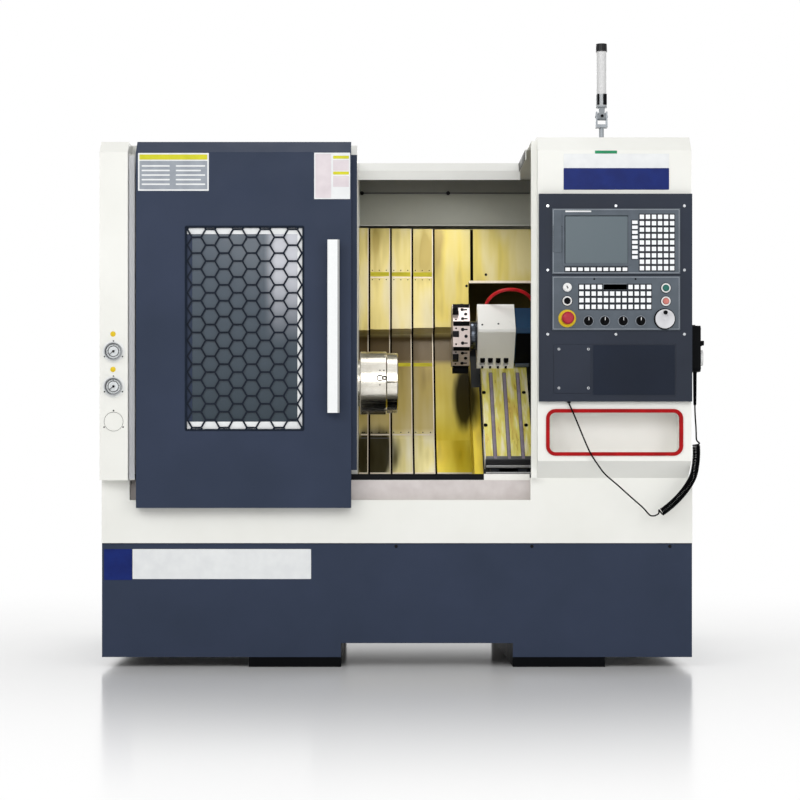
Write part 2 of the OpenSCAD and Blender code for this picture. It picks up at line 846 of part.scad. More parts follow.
module estop_collar() {
    color("#E8C21C") seat() facing(unit_x0 + 49, face_y, oper_z0 + 38) difference() {
        cylinder(r1 = 29, r2 = 27, h = 4);
        translate([0, 0, -1]) cylinder(r = 13, h = 6);
    }
}
module estop_button() {
    color("#C8202B") seat() facing(unit_x0 + 49, face_y, oper_z0 + 38) rotate_extrude() polygon([
        [0, 0.2],
        [13 - run, 0.2],
        [13 - run, 8.3],
        [estop_r - 1, 8.3],
        [estop_r, 12],
        [estop_r, estop_out - 8],
        [estop_r - 4, estop_out - 2],
        [estop_r - 9, estop_out],
        [0, estop_out]
    ]);
}
module push(x, z) {
    facing(x, face_y, z) rotate_extrude() polygon([
        [0, -2.5],
        [push_r, -2.5],
        [push_r, 8],
        [push_r - 1.5, 9.5],
        [0, 9.5]
    ]);
}
module power_button() {
    color("#E4E4E2") seat() push(unit_x0 + 49, oper_z0 + 95);
}
module start_button() {
    color("#1FA05A") seat() push(unit_x0 + 370, oper_z0 + 137);
}
module stop_button() {
    color("#D9482B") seat() push(unit_x0 + 370, oper_z0 + 94);
}
module key_switch() {
    color("#ECECEA") seat() facing(unit_x0 + 49, face_y, oper_z0 + 139) difference() {
        union() {
            translate([0, 0, -unit_t + 1]) cylinder(r = 6, h = unit_t + 2);
            translate([0, 0, run]) cylinder(r = push_r + 4, h = 8);
            translate([0, 0, run]) cylinder(r = push_r, h = 11);
        }
        // slot for the key
        translate([-1.5, -5, 6]) cube([3, 10, 8]);
    }
}
// Selector knob with a raised grip bar
module knob(k) {
    facing(unit_x0 + [118, 171, 231, 288][k], face_y, oper_z0 + 30) union() {
        translate([0, 0, -unit_t + 1]) cylinder(r = 6, h = unit_t + 2);
        translate([0, 0, run]) cylinder(r = knob_r, h = 5);
        translate([-4, -knob_r + 2, 2]) cube([8, 2 * knob_r - 4, knob_h - 2]);
    }
}
module override_knob_1() {
    color("#161719") seat() knob(0);
}
module override_knob_2() {
    color("#161719") seat() knob(1);
}
module override_knob_3() {
    color("#161719") seat() knob(2);
}
module override_knob_4() {
    color("#161719") seat() knob(3);
}
module handwheel() {
    color("#D5D6D8") seat() facing(unit_x0 + 366, face_y, oper_z0 + 36) difference() {
        union() {
            translate([0, 0, -unit_t + 1]) cylinder(r = 6, h = unit_t + 2);
            translate([0, 0, run]) cylinder(r = wheel_r - 3, h = 4);
            translate([0, 0, 3]) cylinder(r = wheel_r, h = wheel_t - 3);
            translate([0, wheel_r - 11, wheel_t - 1]) cylinder(r = 5, h = 17);
        }
        // dished face
        translate([0, 0, wheel_t - 2]) difference() {
            cylinder(r = wheel_r - 17, h = 3);
            translate([0, 0, -1]) cylinder(r = 6, h = 5);
        }
    }
}

// Gauges, pendant, cord, signal tower
module gauge_cases() {
    color("#B9BCC0") seat() for (k = [0:1])
        facing(col_w / 2, -door_proud, gauge_z - k * gauge_step) rotate_extrude() polygon([
            [0, 0],
            [gauge_r + 8, 0],
            [gauge_r + 8, 2],
            [gauge_r, 3],
            [gauge_r, gauge_out],
            [gauge_r - 3, gauge_out],
            [gauge_r - 3, 6],
            [0, 6]
        ]);
}
module gauge_glasses() {
    color("#DDE4E8") seat() for (k = [0:1])
        facing(col_w / 2, -door_proud, gauge_z - k * gauge_step)
            translate([0, 0, gauge_out - 4]) cylinder(r = gauge_r - 3, h = 2);
}
module pendant_bracket() {
    color("#303238") seat() union() {
        box([cab_r, pend_y + 8, pend_z + 30], [cab_r + sheet_t, pend_y + pend_w - 8, pend_z + pend_h - 15]);
        // bent lug over the top of the pendant
        box([cab_r, pend_y + 20, pend_z + pend_h - 15],
            [cab_r + sheet_t, pend_y + pend_w - 20, pend_z + pend_h + 12]);
        box([cab_r, pend_y + 20, pend_z + pend_h], [cab_r + 16, pend_y + pend_w - 20, pend_z + pend_h + 3]);
    }
}
module pendant_body() {
    mid_y = pend_y + pend_w / 2;
    color("#17181A") seat() difference() {
        union() {
            translate([pend_x, mid_y, pend_z + pend_h / 2]) rotate([90, 0, 90])
                linear_extrude(pend_t) polygon(round_rect(pend_w, pend_h, 12));
            // two selectors, fixed on the case
            for (y = [mid_y - 18, mid_y + 18])
                axial(pend_x + pend_t - 1, y, pend_z + 94) cylinder(r = 8, h = 13);
            // cord entry
            translate(entry) cylinder(r = 7, h = 10);
        }
        axial(pend_x + pend_t - 10, mid_y, pend_z + 46) cylinder(r = 6 + run, h = 20);
    }
}
module pendant_wheel() {
    color("#E9E9E6") seat() axial(pend_x + pend_t, pend_y + pend_w / 2, pend_z + 46) union() {
        translate([0, 0, -8]) cylinder(r = 6, h = 10);
        translate([0, 0, run]) cylinder(r = pend_r, h = 10);
        translate([0, 17, 8]) cylinder(r = 4, h = 6);
    }
}
module cable_gland() {
    color("#1A1B1D") seat() translate(gland) union() {
        cylinder(r = 4.5, h = 4);
        translate([0, 0, 2]) cylinder(r = 6, h = plate_z - gland[2] - 2, $fn = 6);
    }
}
module cord_leads() {
    color("#141416") seat() {
        cord(spline(lead_a, 3), lead_r, 8);
        cord(spline(lead_b, 4), lead_r, 8);
    }
}
module cord_coil() {
    color("#141416") seat() cord(spline(coil_run, 3), coil_r, 10);
}
module signal_base() {
    color("#C9CBCE") seat() translate([cab_x + sig_x, 60, cab_top]) union() {
        cylinder(r = 22, h = 5);
        cylinder(r = 8, h = 50);
        translate([-19, -15, 45]) cube([38, 30, 10]);
        for (x = [-19, 14])
            translate([x, -12, 50]) cube([5, 24, fold_z - 34]);
        // hinge pin
        translate([-21, 0, fold_z]) rotate([0, 90, 0]) cylinder(r = 4, h = 42);
    }
}
module signal_tower() {
    color("#EDEEEE") seat() translate([cab_x + sig_x, 60, cab_top + fold_z]) difference() {
        union() {
            // knuckle on the hinge
            translate([run - 14, 0, 0]) rotate([0, 90, 0]) cylinder(r = 12, h = 28 - 2 * run);
            translate([-10, -10, 0]) cube([20, 20, 40]);
            translate([0, 0, 30]) cylinder(r = sig_r + 2, h = 43);
            translate([0, 0, 72]) cylinder(r = sig_r, h = sig_l);
            translate([0, 0, 72 + sig_l]) cylinder(r1 = sig_r + 3, r2 = sig_r + 2, h = 27);
        }
        translate([-21, 0, 0]) rotate([0, 90, 0]) cylinder(r = 4.08, h = 42);
    }
}

// Door
module door_panel() {
    pan = [
        [door_back, door_z],
        [-door_proud, door_z],
        [-door_proud, bevel_z],
        [door_back, roof_top]
    ];
    shoe_z = rail_top + run;
    hook_z = hang_z + rail_s + run;
    color("#3C4155") seat() difference() {
        union() {
            along_x(door_x, door_r) folded(pan, -sheet_t);
            for (x = [door_x, door_r - sheet_t])
                along_x(x, x + sheet_t) polygon(pan);
            box([door_r - sheet_t, door_back - sheet_t, sill_z + 33], [bulk_x, door_back, bevel_z - 3]);
            // fold round the window
            box([door_x + win_x - 30, -door_proud, win_z - 30],
                [door_x + win_x + win_w + 30, -door_proud + 20, win_z + win_h + 30]);
            // sliding shoes on the lower rail, on arms from the side folds
            for (x = [door_x, door_r - 40]) {
                box([x, -door_proud + 1, shoe_z], [x + 40, rail_y + rail_s + 4, shoe_z + 14]);
                box([x, rail_y - 4, rail_top - 14], [x + 40, rail_y - run, shoe_z + 1]);
                box([x, rail_y + rail_s + run, rail_top - 14], [x + 40, rail_y + rail_s + 4, shoe_z + 1]);
            }
            // hooks over the upper rail
            for (x = [door_x, door_r - 40]) {
                box([x, -door_proud + 1, hook_z], [x + 40, guard_y - 2, hook_z + 10]);
                box([x, guard_y - rail_s - 5, hang_z + 2], [x + 40, guard_y - rail_s - run, hook_z + 1]);
            }
        }
        box([door_x + win_x, -door_proud - 1, win_z],
            [door_x + win_x + win_w, -door_proud + 21, win_z + win_h]);
        box([door_x + win_x - 27, -door_proud + sheet_t, win_z - 27],
            [door_x + win_x + win_w + 27, -door_proud + 21, win_z + win_h + 27]);
    }
}
module door_mesh() {
    side_x = hex_pitch / sqrt(3);
    cols = floor((win_w - 10) / (1.5 * side_x)) - 1;
    rows = floor((win_h - 10) / hex_pitch) - 1;
    mid_x = door_x + win_x + win_w / 2;
    mid_z = win_z + win_h / 2;
    y0 = -door_proud + sheet_t;
    color("#2A2D38") seat() difference() {
        box([door_x + win_x - 12, y0, win_z - 12], [door_x + win_x + win_w + 12, y0 + 3, win_z + win_h + 12]);
        intersection() {
            box([door_x + win_x + 3, y0 - 1, win_z + 3],
                [door_x + win_x + win_w - 3, y0 + 4, win_z + win_h - 3]);
            along_y(y0 - 1, y0 + 4) for (i = [-1:cols + 1])
                for (j = [-1:rows + 1])
                    translate([
                        mid_x + (i - cols / 2) * 1.5 * side_x,
                        mid_z + (j - rows / 2 + (abs(i) % 2) / 2 - 0.25) * hex_pitch
                    ]) circle(r = (hex_pitch - hex_web) / sqrt(3), $fn = 6);
        }
    }
}
module door_window() {
    x0 = door_x + win_x;
    x1 = x0 + win_w;
    z1 = win_z + win_h;
    y0 = -door_proud + sheet_t + 3;
    color("#6F7378") seat() difference() {
        box([x0 - 20, y0, win_z - 20], [x1 + 20, y0 + 10, z1 + 20]);
        // gap between the mesh and the pane inside its border
        box([x0 - 7, y0 - 1, win_z - 7], [x1 + 7, y0 + 2, z1 + 7]);
    }
}
module door_handle() {
    x0 = door_r - grip_end - grip_w;
    z0 = door_z + grip_z;
    color("#EFEFEC") seat() union() {
        translate([x0 + grip_w / 2, -door_proud - grip_out + grip_t / 2, z0])
            linear_extrude(grip_l) polygon(round_rect(grip_w, grip_t, 5));
        for (z = [z0 + 8, z0 + grip_l - 48])
            box([x0 + 6, -door_proud - grip_out + 2, z], [x0 + grip_w - 6, -door_proud, z + 40]);
    }
}

// Headstock, spindle and chuck
module headstock() {
    head_x = bed_x + 50;
    head_l = bulk_x - 90 - head_x;
    color("#5A5E66") seat() on_slope() difference() {
        along_x(head_x, head_x + head_l) difference() {
            union() {
                circle(r = head_r);
                translate([-130, bed_n]) square([260, -bed_n - 20]);
            }
            circle(r = bear_r);
        }
        // cored foot, open to the bed
        box([head_x + 40, -90, bed_n - 1], [head_x + head_l - 40, 90, -head_r - 20]);
    }
}
module z_rails() {
    color("#A9ACB0") seat() on_slope() for (u = z_rail_u)
        box([bulk_x + 157, u - z_rail_w / 2, bed_n],
            [bed_x + bed_l - 10, u + z_rail_w / 2, bed_n + z_rail_h]);
}
module spindle() {
    color("#B4B7BB") seat() axial(0, spin_y, spin_z) rotate_extrude() polygon([
        [bore_r + 2, bed_x - 50],
        [52, bed_x - 50],
        [52, bed_x + 42],
        [bear_r - 0.08, bed_x + 42],
        [bear_r - 0.08, bulk_x - 48],
        [bear_r + 7, bulk_x - 40],
        [bear_r + 7, chuck_x],
        [bore_r + 2, chuck_x]
    ]);
}
module chuck_body() {
    color("#C6C8CB") seat() axial(chuck_x, spin_y, spin_z) difference() {
        rotate_extrude() polygon([
            [bore_r, 0],
            [chuck_r - 3, 0],
            [chuck_r, 3],
            [chuck_r, chuck_l - 4],
            [chuck_r - 4, chuck_l],
            [bore_r + 12, chuck_l],
            [bore_r + 8, chuck_l - 4],
            [bore_r, chuck_l - 4]
        ]);
        // radial jaw ways
        for (k = [0:2])
            rotate([0, 0, jaw_turn + 120 * k]) translate([bore_r + 16, -10, chuck_l - 9])
                cube([chuck_r, 20, 20]);
        // balance groove
        translate([0, 0, 22]) difference() {
            cylinder(r = chuck_r + 5, h = 5);
            translate([0, 0, -1]) cylinder(r = chuck_r - 2, h = 7);
        }
    }
}
// One full-circle soft jaw, a third of a ring on its base jaw, bored for the workpiece
module jaw(k) {
    axial(chuck_x, spin_y, spin_z) rotate([0, 0, jaw_turn + 120 * k]) difference() {
        union() {
            translate([46, -10 + run, chuck_l - 9 + run]) cube([52, 20 - 2 * run, 10]);
            translate([0, 0, chuck_l + run]) intersection() {
                rotate_extrude() polygon([
                    [0, 0],
                    [jaw_r, 0],
                    [jaw_r, jaw_h - run - 3],
                    [jaw_r - 3, jaw_h - run],
                    [0, jaw_h - run]
                ]);
                translate([0, 0, -1]) linear_extrude(jaw_h + 2) polygon([
                    [jaw_in, -jaw_side(jaw_in)],
                    [jaw_r + 5, -jaw_side(jaw_r + 5)],
                    [jaw_r + 5, jaw_side(jaw_r + 5)],
                    [jaw_in, jaw_side(jaw_in)]
                ]);
            }
        }
        translate([0, 0, chuck_l + jaw_h - 15]) cylinder(r = jaw_in + 18, h = 20);
        // counterbores of the clamping screws
        for (r = [64, 88])
            translate([r, 0, chuck_l + jaw_h - 16]) cylinder(r = 6.5, h = 20);
    }
}
module chuck_jaw_1() {
    color("#D3D5D8") seat() jaw(0);
}
module chuck_jaw_2() {
    color("#D3D5D8") seat() jaw(1);
}
module chuck_jaw_3() {
    color("#D3D5D8") seat() jaw(2);
}

// Saddle, covers, cross slide and turret
module saddle() {
    color("#3E424A") seat() on_slope() difference() {
        union() {
            box([saddle_x, saddle_u0, under_n], [saddle_x + saddle_w, saddle_u1, ways_n]);
            for (x = way_x)
                box([x - way_w / 2, saddle_u0, ways_n], [x + way_w / 2, saddle_u1, table_n - table_t - run]);
            for (u = z_rail_u)
                box([saddle_x, u - 40, bed_n + 10], [saddle_x + saddle_w, u + 40, under_n]);
        }
        for (u = z_rail_u)
            box([saddle_x - 1, u - z_rail_w / 2 - run, bed_n],
                [saddle_x + saddle_w + 1, u + z_rail_w / 2 + run, bed_n + z_rail_h + run]);
        // lightening pocket from below
        box([saddle_x + 30, -80, under_n - 1], [saddle_x + saddle_w - 30, 170, ways_n - 60]);
    }
}
// One telescopic cover with the wiper band at its right end
module cover(k) {
    x1 = cover_end + k * cover_pitch;
    along_x(k == 0 ? bulk_x : x1 - cover_l, x1) folded(cover_path, cover_t, k * cover_step);
    along_x(x1 - 10, x1)
        folded(cover_path, cover_step - cover_t - run, k * cover_step + cover_t);
}
module way_cover_1() {
    color("#C9C3A8") seat() union() cover(0);
}
module way_cover_2() {
    color("#C9C3A8") seat() union() cover(1);
}
module way_cover_3() {
    color("#C9C3A8") seat() union() cover(2);
}
module way_cover_4() {
    color("#C9C3A8") seat() union() cover(3);
}
module saddle_cover() {
    d = 4 * cover_step;
    edge = moved(cover_path, d);
    low = edge[0] + 0.54 * (edge[1] - edge[0]);
    color("#C9C3A8") seat() union() {
        along_x(cover_end + 3 * cover_pitch - cover_l / 2, saddle_x) folded(cover_path, cover_t, d);
        along_x(saddle_x - 1, saddle_x + 250) folded([edge[0], low], cover_t);
        // folded sheet on the left side and the top of the saddle
        on_slope() box([saddle_x - cover_t, saddle_u0, under_n + 30],
            [saddle_x, saddle_u1 - 10, ways_n + cover_t]);
        on_slope() box([saddle_x - 1, saddle_u0, ways_n], [table_x - 4, turret_u, ways_n + cover_t]);
        // end flange on the side of the saddle
        along_x(saddle_x - sheet_t, saddle_x) polygon([
            edge[3] + 0.8 * (edge[2] - edge[3]),
            edge[3] + 0.2 * (edge[2] - edge[3]),
            edge[3] + 0.2 * (edge[2] - edge[3]) + [90, 30],
            edge[3] + 0.8 * (edge[2] - edge[3]) + [60, -60]
        ]);
    }
}
module cross_slide() {
    color("#B9BCC0") seat() on_slope() difference() {
        union() {
            box([table_x, table_u0, table_n - table_t], [table_x + table_w, table_u1, table_n]);
            box([way_x[0] + way_w / 2 + run, table_u0 + tongue_in, ways_n + run],
                [way_x[1] - way_w / 2 - run, table_u1, table_n - table_t]);
        }
        // T-slots
        for (k = [-1:1])
            let (x = table_mid + k * slot_step) {
                box([x - 7, table_u0 - 1, table_n - 13], [x + 7, turret_u - 20, table_n + 1]);
                box([x - 12, table_u0 - 1, table_n - 23], [x + 12, turret_u - 20, table_n - 12]);
            }
    }
}
module turret_body() {
    color("#EDEBE6") seat() on_slope() difference() {
        union() {
            along_x(body_x, motor_x) polygon([
                [turret_u, table_n],
                [turret_u, -table_n - 6],
                [turret_u + 6, -table_n],
                [turret_u + turret_d - 6, -table_n],
                [turret_u + turret_d, -table_n - 6],
                [turret_u + turret_d, table_n]
            ]);
            axial(disc_x + disc_t + run, disc_u, 0) cylinder(r = hub_r, h = 29);
            // fitting of the hose on the rear face
            box([hose_x - hose_r - 4, turret_u + turret_d - 1, hose_n - 24],
                [hose_x + hose_r + 4, hose_u + hose_r + 4, hose_n]);
        }
        // pockets of the clamping bolts
        for (k = [0:3])
            translate([body_x + 20 + 28 * k, turret_u, table_n]) {
                box([-9, -1, 12], [9, 16, 50]);
            }
    }
}
module turret_motor() {
    color("#2E4E9E") seat() on_slope() union() {
        along_x(motor_x, motor_x + motor_l) polygon([
            [turret_u + 8, table_n + 18],
            [turret_u + 8, -table_n - 18],
            [turret_u + 20, -table_n - 6],
            [turret_u + turret_d - 20, -table_n - 6],
            [turret_u + turret_d - 8, -table_n - 18],
            [turret_u + turret_d - 8, table_n + 18]
        ]);
        // fitting of the hose on the rear face
        box([hose_x + 2 * hose_bend - hose_r - 4, turret_u + turret_d - 9, hose_n - 24],
            [hose_x + 2 * hose_bend + hose_r + 4, hose_u + hose_r + 4, hose_n]);
    }
}
module turret_hose() {
    color("#C4392F") seat() on_slope() translate([hose_x + hose_bend, hose_u, hose_n])
        rotate([90, 0, 0]) rotate_extrude(angle = 180) translate([hose_bend, 0]) circle(r = hose_r);
}
module turret_disc() {
    color("#C9CBCE") seat() on_slope() axial(disc_x, disc_u, 0) difference() {
        rotate([0, 0, 22.5]) cylinder(r = disc_r, h = disc_t, $fn = 8);
        for (k = [0:7])
            rotate([0, 0, 45 * k]) translate([62, -11, -1]) cube([80, 22, 23]);
        translate([0, 0, -1]) cylinder(r = 34, h = 9);
    }
}
// Tools held in every second station, blanks in the others
module turret_tools() {
    color("#202124") seat() on_slope() axial(disc_x, disc_u, 0) for (k = [0:7])
        rotate([0, 0, 45 * k]) translate([62, -11, 0]) union() {
            cube([k % 2 == 0 ? 64 : 46, 22, 20]);
            if (k % 2 == 0) translate([60, 0, 0]) linear_extrude(16) polygon([
                [0, 0],
                [18, 0],
                [12, 12],
                [0, 16]
            ]);
        }
}

base_casting();
base_skirt();
slant_bed();
front_apron();
door_rails();
left_end_cover();
headstock_guard();
rear_hood();
rear_cover();
control_cabinet();
niche_trim();
control_plate();
display_unit();
display_screen();
keypads();
operator_panel();
estop_collar();
gauge_cases();
gauge_glasses();
pendant_bracket();
pendant_body();
cable_gland();
cord_leads();
cord_coil();
signal_base();
headstock();
z_rails();
way_cover_1();
door_panel();
door_mesh();
door_window();
door_handle();
spindle();
chuck_body();
chuck_jaw_1();
chuck_jaw_2();
chuck_jaw_3();
saddle();
saddle_cover();
way_cover_2();
way_cover_3();
way_cover_4();
cross_slide();
turret_body();
turret_motor();
turret_disc();
turret_tools();
turret_hose();
estop_button();
key_switch();
power_button();
start_button();
stop_button();
override_knob_1();
override_knob_2();
override_knob_3();
override_knob_4();
handwheel();
pendant_wheel();
signal_tower();
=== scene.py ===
"""Dressed CNC turning lathe: finishes for every solid, small fittings, the curly cord, light and camera.

Places are bench millimetres: X from the left end, Y back from the front of the base skirt, Z from the floor.
bench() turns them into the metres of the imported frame.
"""
from __future__ import annotations

import logging
import math
from dataclasses import dataclass, field
from enum import Enum
from typing import Iterable, Sequence

import bpy
from mathutils import Euler, Matrix, Vector

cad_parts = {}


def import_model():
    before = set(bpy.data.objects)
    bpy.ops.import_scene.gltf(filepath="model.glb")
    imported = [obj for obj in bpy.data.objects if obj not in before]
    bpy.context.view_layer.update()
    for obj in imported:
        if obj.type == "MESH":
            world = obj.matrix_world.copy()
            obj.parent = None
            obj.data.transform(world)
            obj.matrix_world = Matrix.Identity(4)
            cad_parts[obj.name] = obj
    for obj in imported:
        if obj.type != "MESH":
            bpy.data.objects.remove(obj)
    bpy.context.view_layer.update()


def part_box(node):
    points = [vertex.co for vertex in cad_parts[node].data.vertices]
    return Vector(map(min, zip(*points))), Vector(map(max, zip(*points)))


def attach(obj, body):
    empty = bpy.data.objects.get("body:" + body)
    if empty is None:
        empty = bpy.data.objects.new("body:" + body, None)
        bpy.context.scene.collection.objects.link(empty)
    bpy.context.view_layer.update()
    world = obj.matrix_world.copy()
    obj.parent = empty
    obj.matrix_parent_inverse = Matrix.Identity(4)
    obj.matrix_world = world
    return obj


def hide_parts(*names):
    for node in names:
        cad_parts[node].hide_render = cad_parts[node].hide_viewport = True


LOG = logging.getLogger("lathe")
MM = 0.001
MIDDLE = Vector((990.5, 576.0, 0.0))
SPINDLE_Y = 400.0
SPINDLE_Z = 953.0
ROOT_HALF = math.sqrt(0.5)
# Depth of the faces that the fittings stand on.
SKIRT_Y = 0.0
COLUMN_Y = -62.0
CABINET_Y = -80.0
PLATE_Y = -100.0
UNIT_Y = -106.0
# Heights between which the shade painted on the covers is described.
SHADING_LOW = 600.0
SHADING_HIGH = 1600.0
# Degrees: an edge sharper than the first is bevelled, one blunter than the second is smoothed.
BEVEL_ANGLE = 30.0
SMOOTH_ANGLE = 35.0
# Span that holds nearly all values of a noise pattern.
NOISE_SPAN = {"From Min": 0.3, "From Max": 0.7}

Piece = bpy.types.Object
Tree = bpy.types.NodeTree
Socket = bpy.types.NodeSocket
Numbers = tuple[float, ...]
Pair = tuple[float, float]
Point = tuple[float, float, float]
# Left, right, lower and upper edge.
Area = tuple[float, float, float, float]
# Rows of two numbers, such as the radius and height of each ring of a turned piece.
Pairs = tuple[Pair, ...]
Inputs = dict[str, object]


class Facing(Enum):
    """Way that a turned or flat piece points, as Euler degrees of its own +Z."""

    UP = (0.0, 0.0, 0.0)
    DOWN = (180.0, 0.0, 0.0)
    FRONT = (90.0, 0.0, 0.0)
    BACK = (90.0, 0.0, 180.0)
    RIGHT = (0.0, 90.0, 0.0)
    LEFT = (0.0, -90.0, 0.0)
    OFF_SLOPE = (45.0, 0.0, 0.0)
    DOWN_SLOPE = (135.0, 0.0, 0.0)

    def turn(self) -> Matrix:
        """Rotation matrix of this way."""
        return Euler([math.radians(a) for a in self.value]).to_matrix().to_4x4()


class Axis(Enum):
    """Axis of the object, as the index of its coordinate."""

    X = 0
    Y = 1
    Z = 2


def bench(x: float, y: float, z: float) -> Vector:
    """Bench millimetres as metres of the frame."""
    return (Vector((x, y, z)) - MIDDLE) * MM


def on_slope(x: float, up: float, off: float) -> Point:
    """Bench place of a point given along X, up the slope and off the slope, from the spindle axis."""
    return (x, SPINDLE_Y + ROOT_HALF * (up - off), SPINDLE_Z + ROOT_HALF * (up + off))


def linear(code: str) -> tuple[float, float, float, float]:
    """Turns an sRGB hex colour into linear RGBA.

    Args:
        code: colour such as "#3B4356".

    Returns:
        The linear colour with full alpha.
    """
    parts = [int(code[i:i + 2], 16) / 255.0 for i in (1, 3, 5)]
    flat = [p / 12.92 if p <= 0.04045 else ((p + 0.055) / 1.055) ** 2.4 for p in parts]
    return (flat[0], flat[1], flat[2], 1.0)
def per_metre(size_mm: float) -> float:
    """Scale of a pattern whose marks are this many millimetres wide."""
    return 1.0 / (size_mm * MM)


def spin(axis: str, degrees: float) -> Matrix:
    """Turn about one axis of a piece."""
    return Matrix.Rotation(math.radians(degrees), 4, axis)


def add_node(tree: Tree, kind: str, feeds: dict | None = None, **settings: str) -> bpy.types.Node:
    """Adds one shader node with its settings, values and links.

    Args:
        tree: node tree that gets the node.
        kind: Blender's type name of the node, without "ShaderNode".
        feeds: values or output sockets for its inputs, by name or number.
        settings: properties of the node.

    Returns:
        The new node.
    """
    made = tree.nodes.new("ShaderNode" + kind)
    for key, value in settings.items():
        setattr(made, key, value)
    for key, value in (feeds or {}).items():
        if isinstance(value, Socket):
            tree.links.new(value, made.inputs[key])
        else:
            made.inputs[key].default_value = value
    return made


@dataclass(frozen=True)
class Finish:
    """Base of all finishes: a named material and the name of a slot."""

    name: str
    slot: str
    colour: str
    roughness: float = 0.5
    specular: float = field(default=0.2, kw_only=True)

    def material(self) -> bpy.types.Material:
        """Makes the material the first time and finds it again later.

        Returns:
            The material.
        """
        made = bpy.data.materials.get(self.name)
        if made:
            return made
        made = bpy.data.materials.new(self.name)
        made.use_nodes = True
        made.diffuse_color = linear(self.colour)
        tree = made.node_tree
        tree.nodes.clear()
        place = add_node(tree, "TexCoord").outputs["Object"]
        given = {"Base Color": linear(self.colour), "Roughness": self.roughness,
                 "Specular IOR Level": self.specular, **self.surface(tree, place)}
        shader = add_node(tree, "BsdfPrincipled", given)
        add_node(tree, "OutputMaterial", {"Surface": shader.outputs[0]})
        return made

    def surface(self, tree: Tree, place: Socket) -> Inputs:
        """What the finish gives to the sockets of its shader; each kind of finish has its own.

        Args:
            tree: node tree of the material.
            place: Object coordinates.

        Returns:
            Values and links by the name of the socket.
        """
        raise NotImplementedError

    def toned(self, tree: Tree, pattern: Socket, deep: str, span: dict[str, float]) -> Socket:
        """Goes from a deep tone to the colour of the finish as a pattern rises.

        Args:
            tree: node tree of the material.
            pattern: pattern to follow.
            deep: tone where the pattern is low.
            span: values of the pattern at both ends.

        Returns:
            The tone.
        """
        share = add_node(tree, "MapRange", {"Value": pattern, **span})
        tone = add_node(tree, "Mix",
                        {0: share.outputs[0], 6: linear(deep), 7: linear(self.colour)}, data_type="RGBA")
        return tone.outputs[2]

    def skin(self, tree: Tree, sheen: Socket, relief: Socket,
             change: Pair, strength: float, depth_mm: float) -> Inputs:
        """Uneven gloss from one pattern and relief from another.

        Args:
            tree: node tree of the material.
            sheen: pattern of the gloss.
            relief: pattern of the relief.
            change: what the roughness gains where the sheen is low and where it is high.
            strength: strength of the relief.
            depth_mm: depth of the relief.

        Returns:
            Roughness and normal for the shader.
        """
        gloss = add_node(tree, "MapRange",
                         {"Value": sheen, **NOISE_SPAN, "To Min": self.roughness + change[0],
                          "To Max": self.roughness + change[1]})
        bump = add_node(tree, "Bump", {"Strength": strength, "Distance": depth_mm * MM, "Height": relief})
        return {"Roughness": gloss.outputs[0], "Normal": bump.outputs[0]}


@dataclass(frozen=True)
class Paint(Finish):
    """Powder coat or enamel on sheet steel: faint clouds in the tone and an orange peel skin.

    The peel of a real coat is 1 to 2 mm wide; it is drawn at 5 mm so that it shows at this distance.
    """

    deep: str = "#000000"
    peel_mm: float = 5.0
    peel: float = 0.12
    peel_depth_mm: float = 0.25
    cloud_mm: float = 260.0
    patch_mm: float = 90.0
    patchy: float = 0.05

    def surface(self, tree: Tree, place: Socket) -> Inputs:
        """Clouds, uneven gloss and orange peel.

        Args:
            tree: node tree of the material.
            place: Object coordinates.

        Returns:
            Values and links by the name of the socket.
        """
        cloud = add_node(tree, "TexNoise",
                         {"Vector": place, "Scale": per_metre(self.cloud_mm), "Detail": 4.0})
        patch, peel = (add_node(tree, "TexNoise", {"Vector": place, "Scale": per_metre(size)})
                       for size in (self.patch_mm, self.peel_mm))
        return {"Base Color": self.toned(tree, cloud.outputs[0], self.deep, NOISE_SPAN),
                **self.skin(tree, patch.outputs[0], peel.outputs[0], (-self.patchy, self.patchy), self.peel,
                            self.peel_depth_mm)}


@dataclass(frozen=True)
class Steel(Finish):
    """Bare steel: ground, turned or plated, with fine lines along one axis and a thin oil film."""

    deep: str = "#8A8C8E"
    grain: Axis = Axis.X
    line_mm: float = 1.5
    lines: float = 0.1
    metal: float = 1.0
    stretch: float = 100.0
    tone_span: Pair = (0.12, 0.38)
    line_depth_mm: float = 0.1
    line_gloss: Pair = (-0.06, 0.1)
    cloud_mm: float = 70.0

    def surface(self, tree: Tree, place: Socket) -> Inputs:
        """Lines stretched along the grain, in tone, gloss and relief.

        Args:
            tree: node tree of the material.
            place: Object coordinates.

        Returns:
            Values and links by the name of the socket.
        """
        scale = [per_metre(self.line_mm)] * 3
        scale[self.grain.value] /= self.stretch
        drawn = add_node(tree, "Mapping", {"Vector": place, "Scale": scale})
        line = add_node(tree, "TexNoise",
                        {"Vector": drawn.outputs[0], "Scale": 1.0, "Detail": 3.0}).outputs[0]
        cloud = add_node(tree, "TexNoise",
                         {"Vector": place, "Scale": per_metre(self.cloud_mm), "Detail": 3.0})
        both = add_node(tree, "Math", {0: line, 1: cloud.outputs[0]}, operation="MULTIPLY")
        low, high = self.tone_span
        tone = self.toned(tree, both.outputs[0], self.deep, {"From Min": low, "From Max": high})
        return {"Base Color": tone, "Metallic": self.metal,
                **self.skin(tree, line, line, self.line_gloss, self.lines, self.line_depth_mm)}


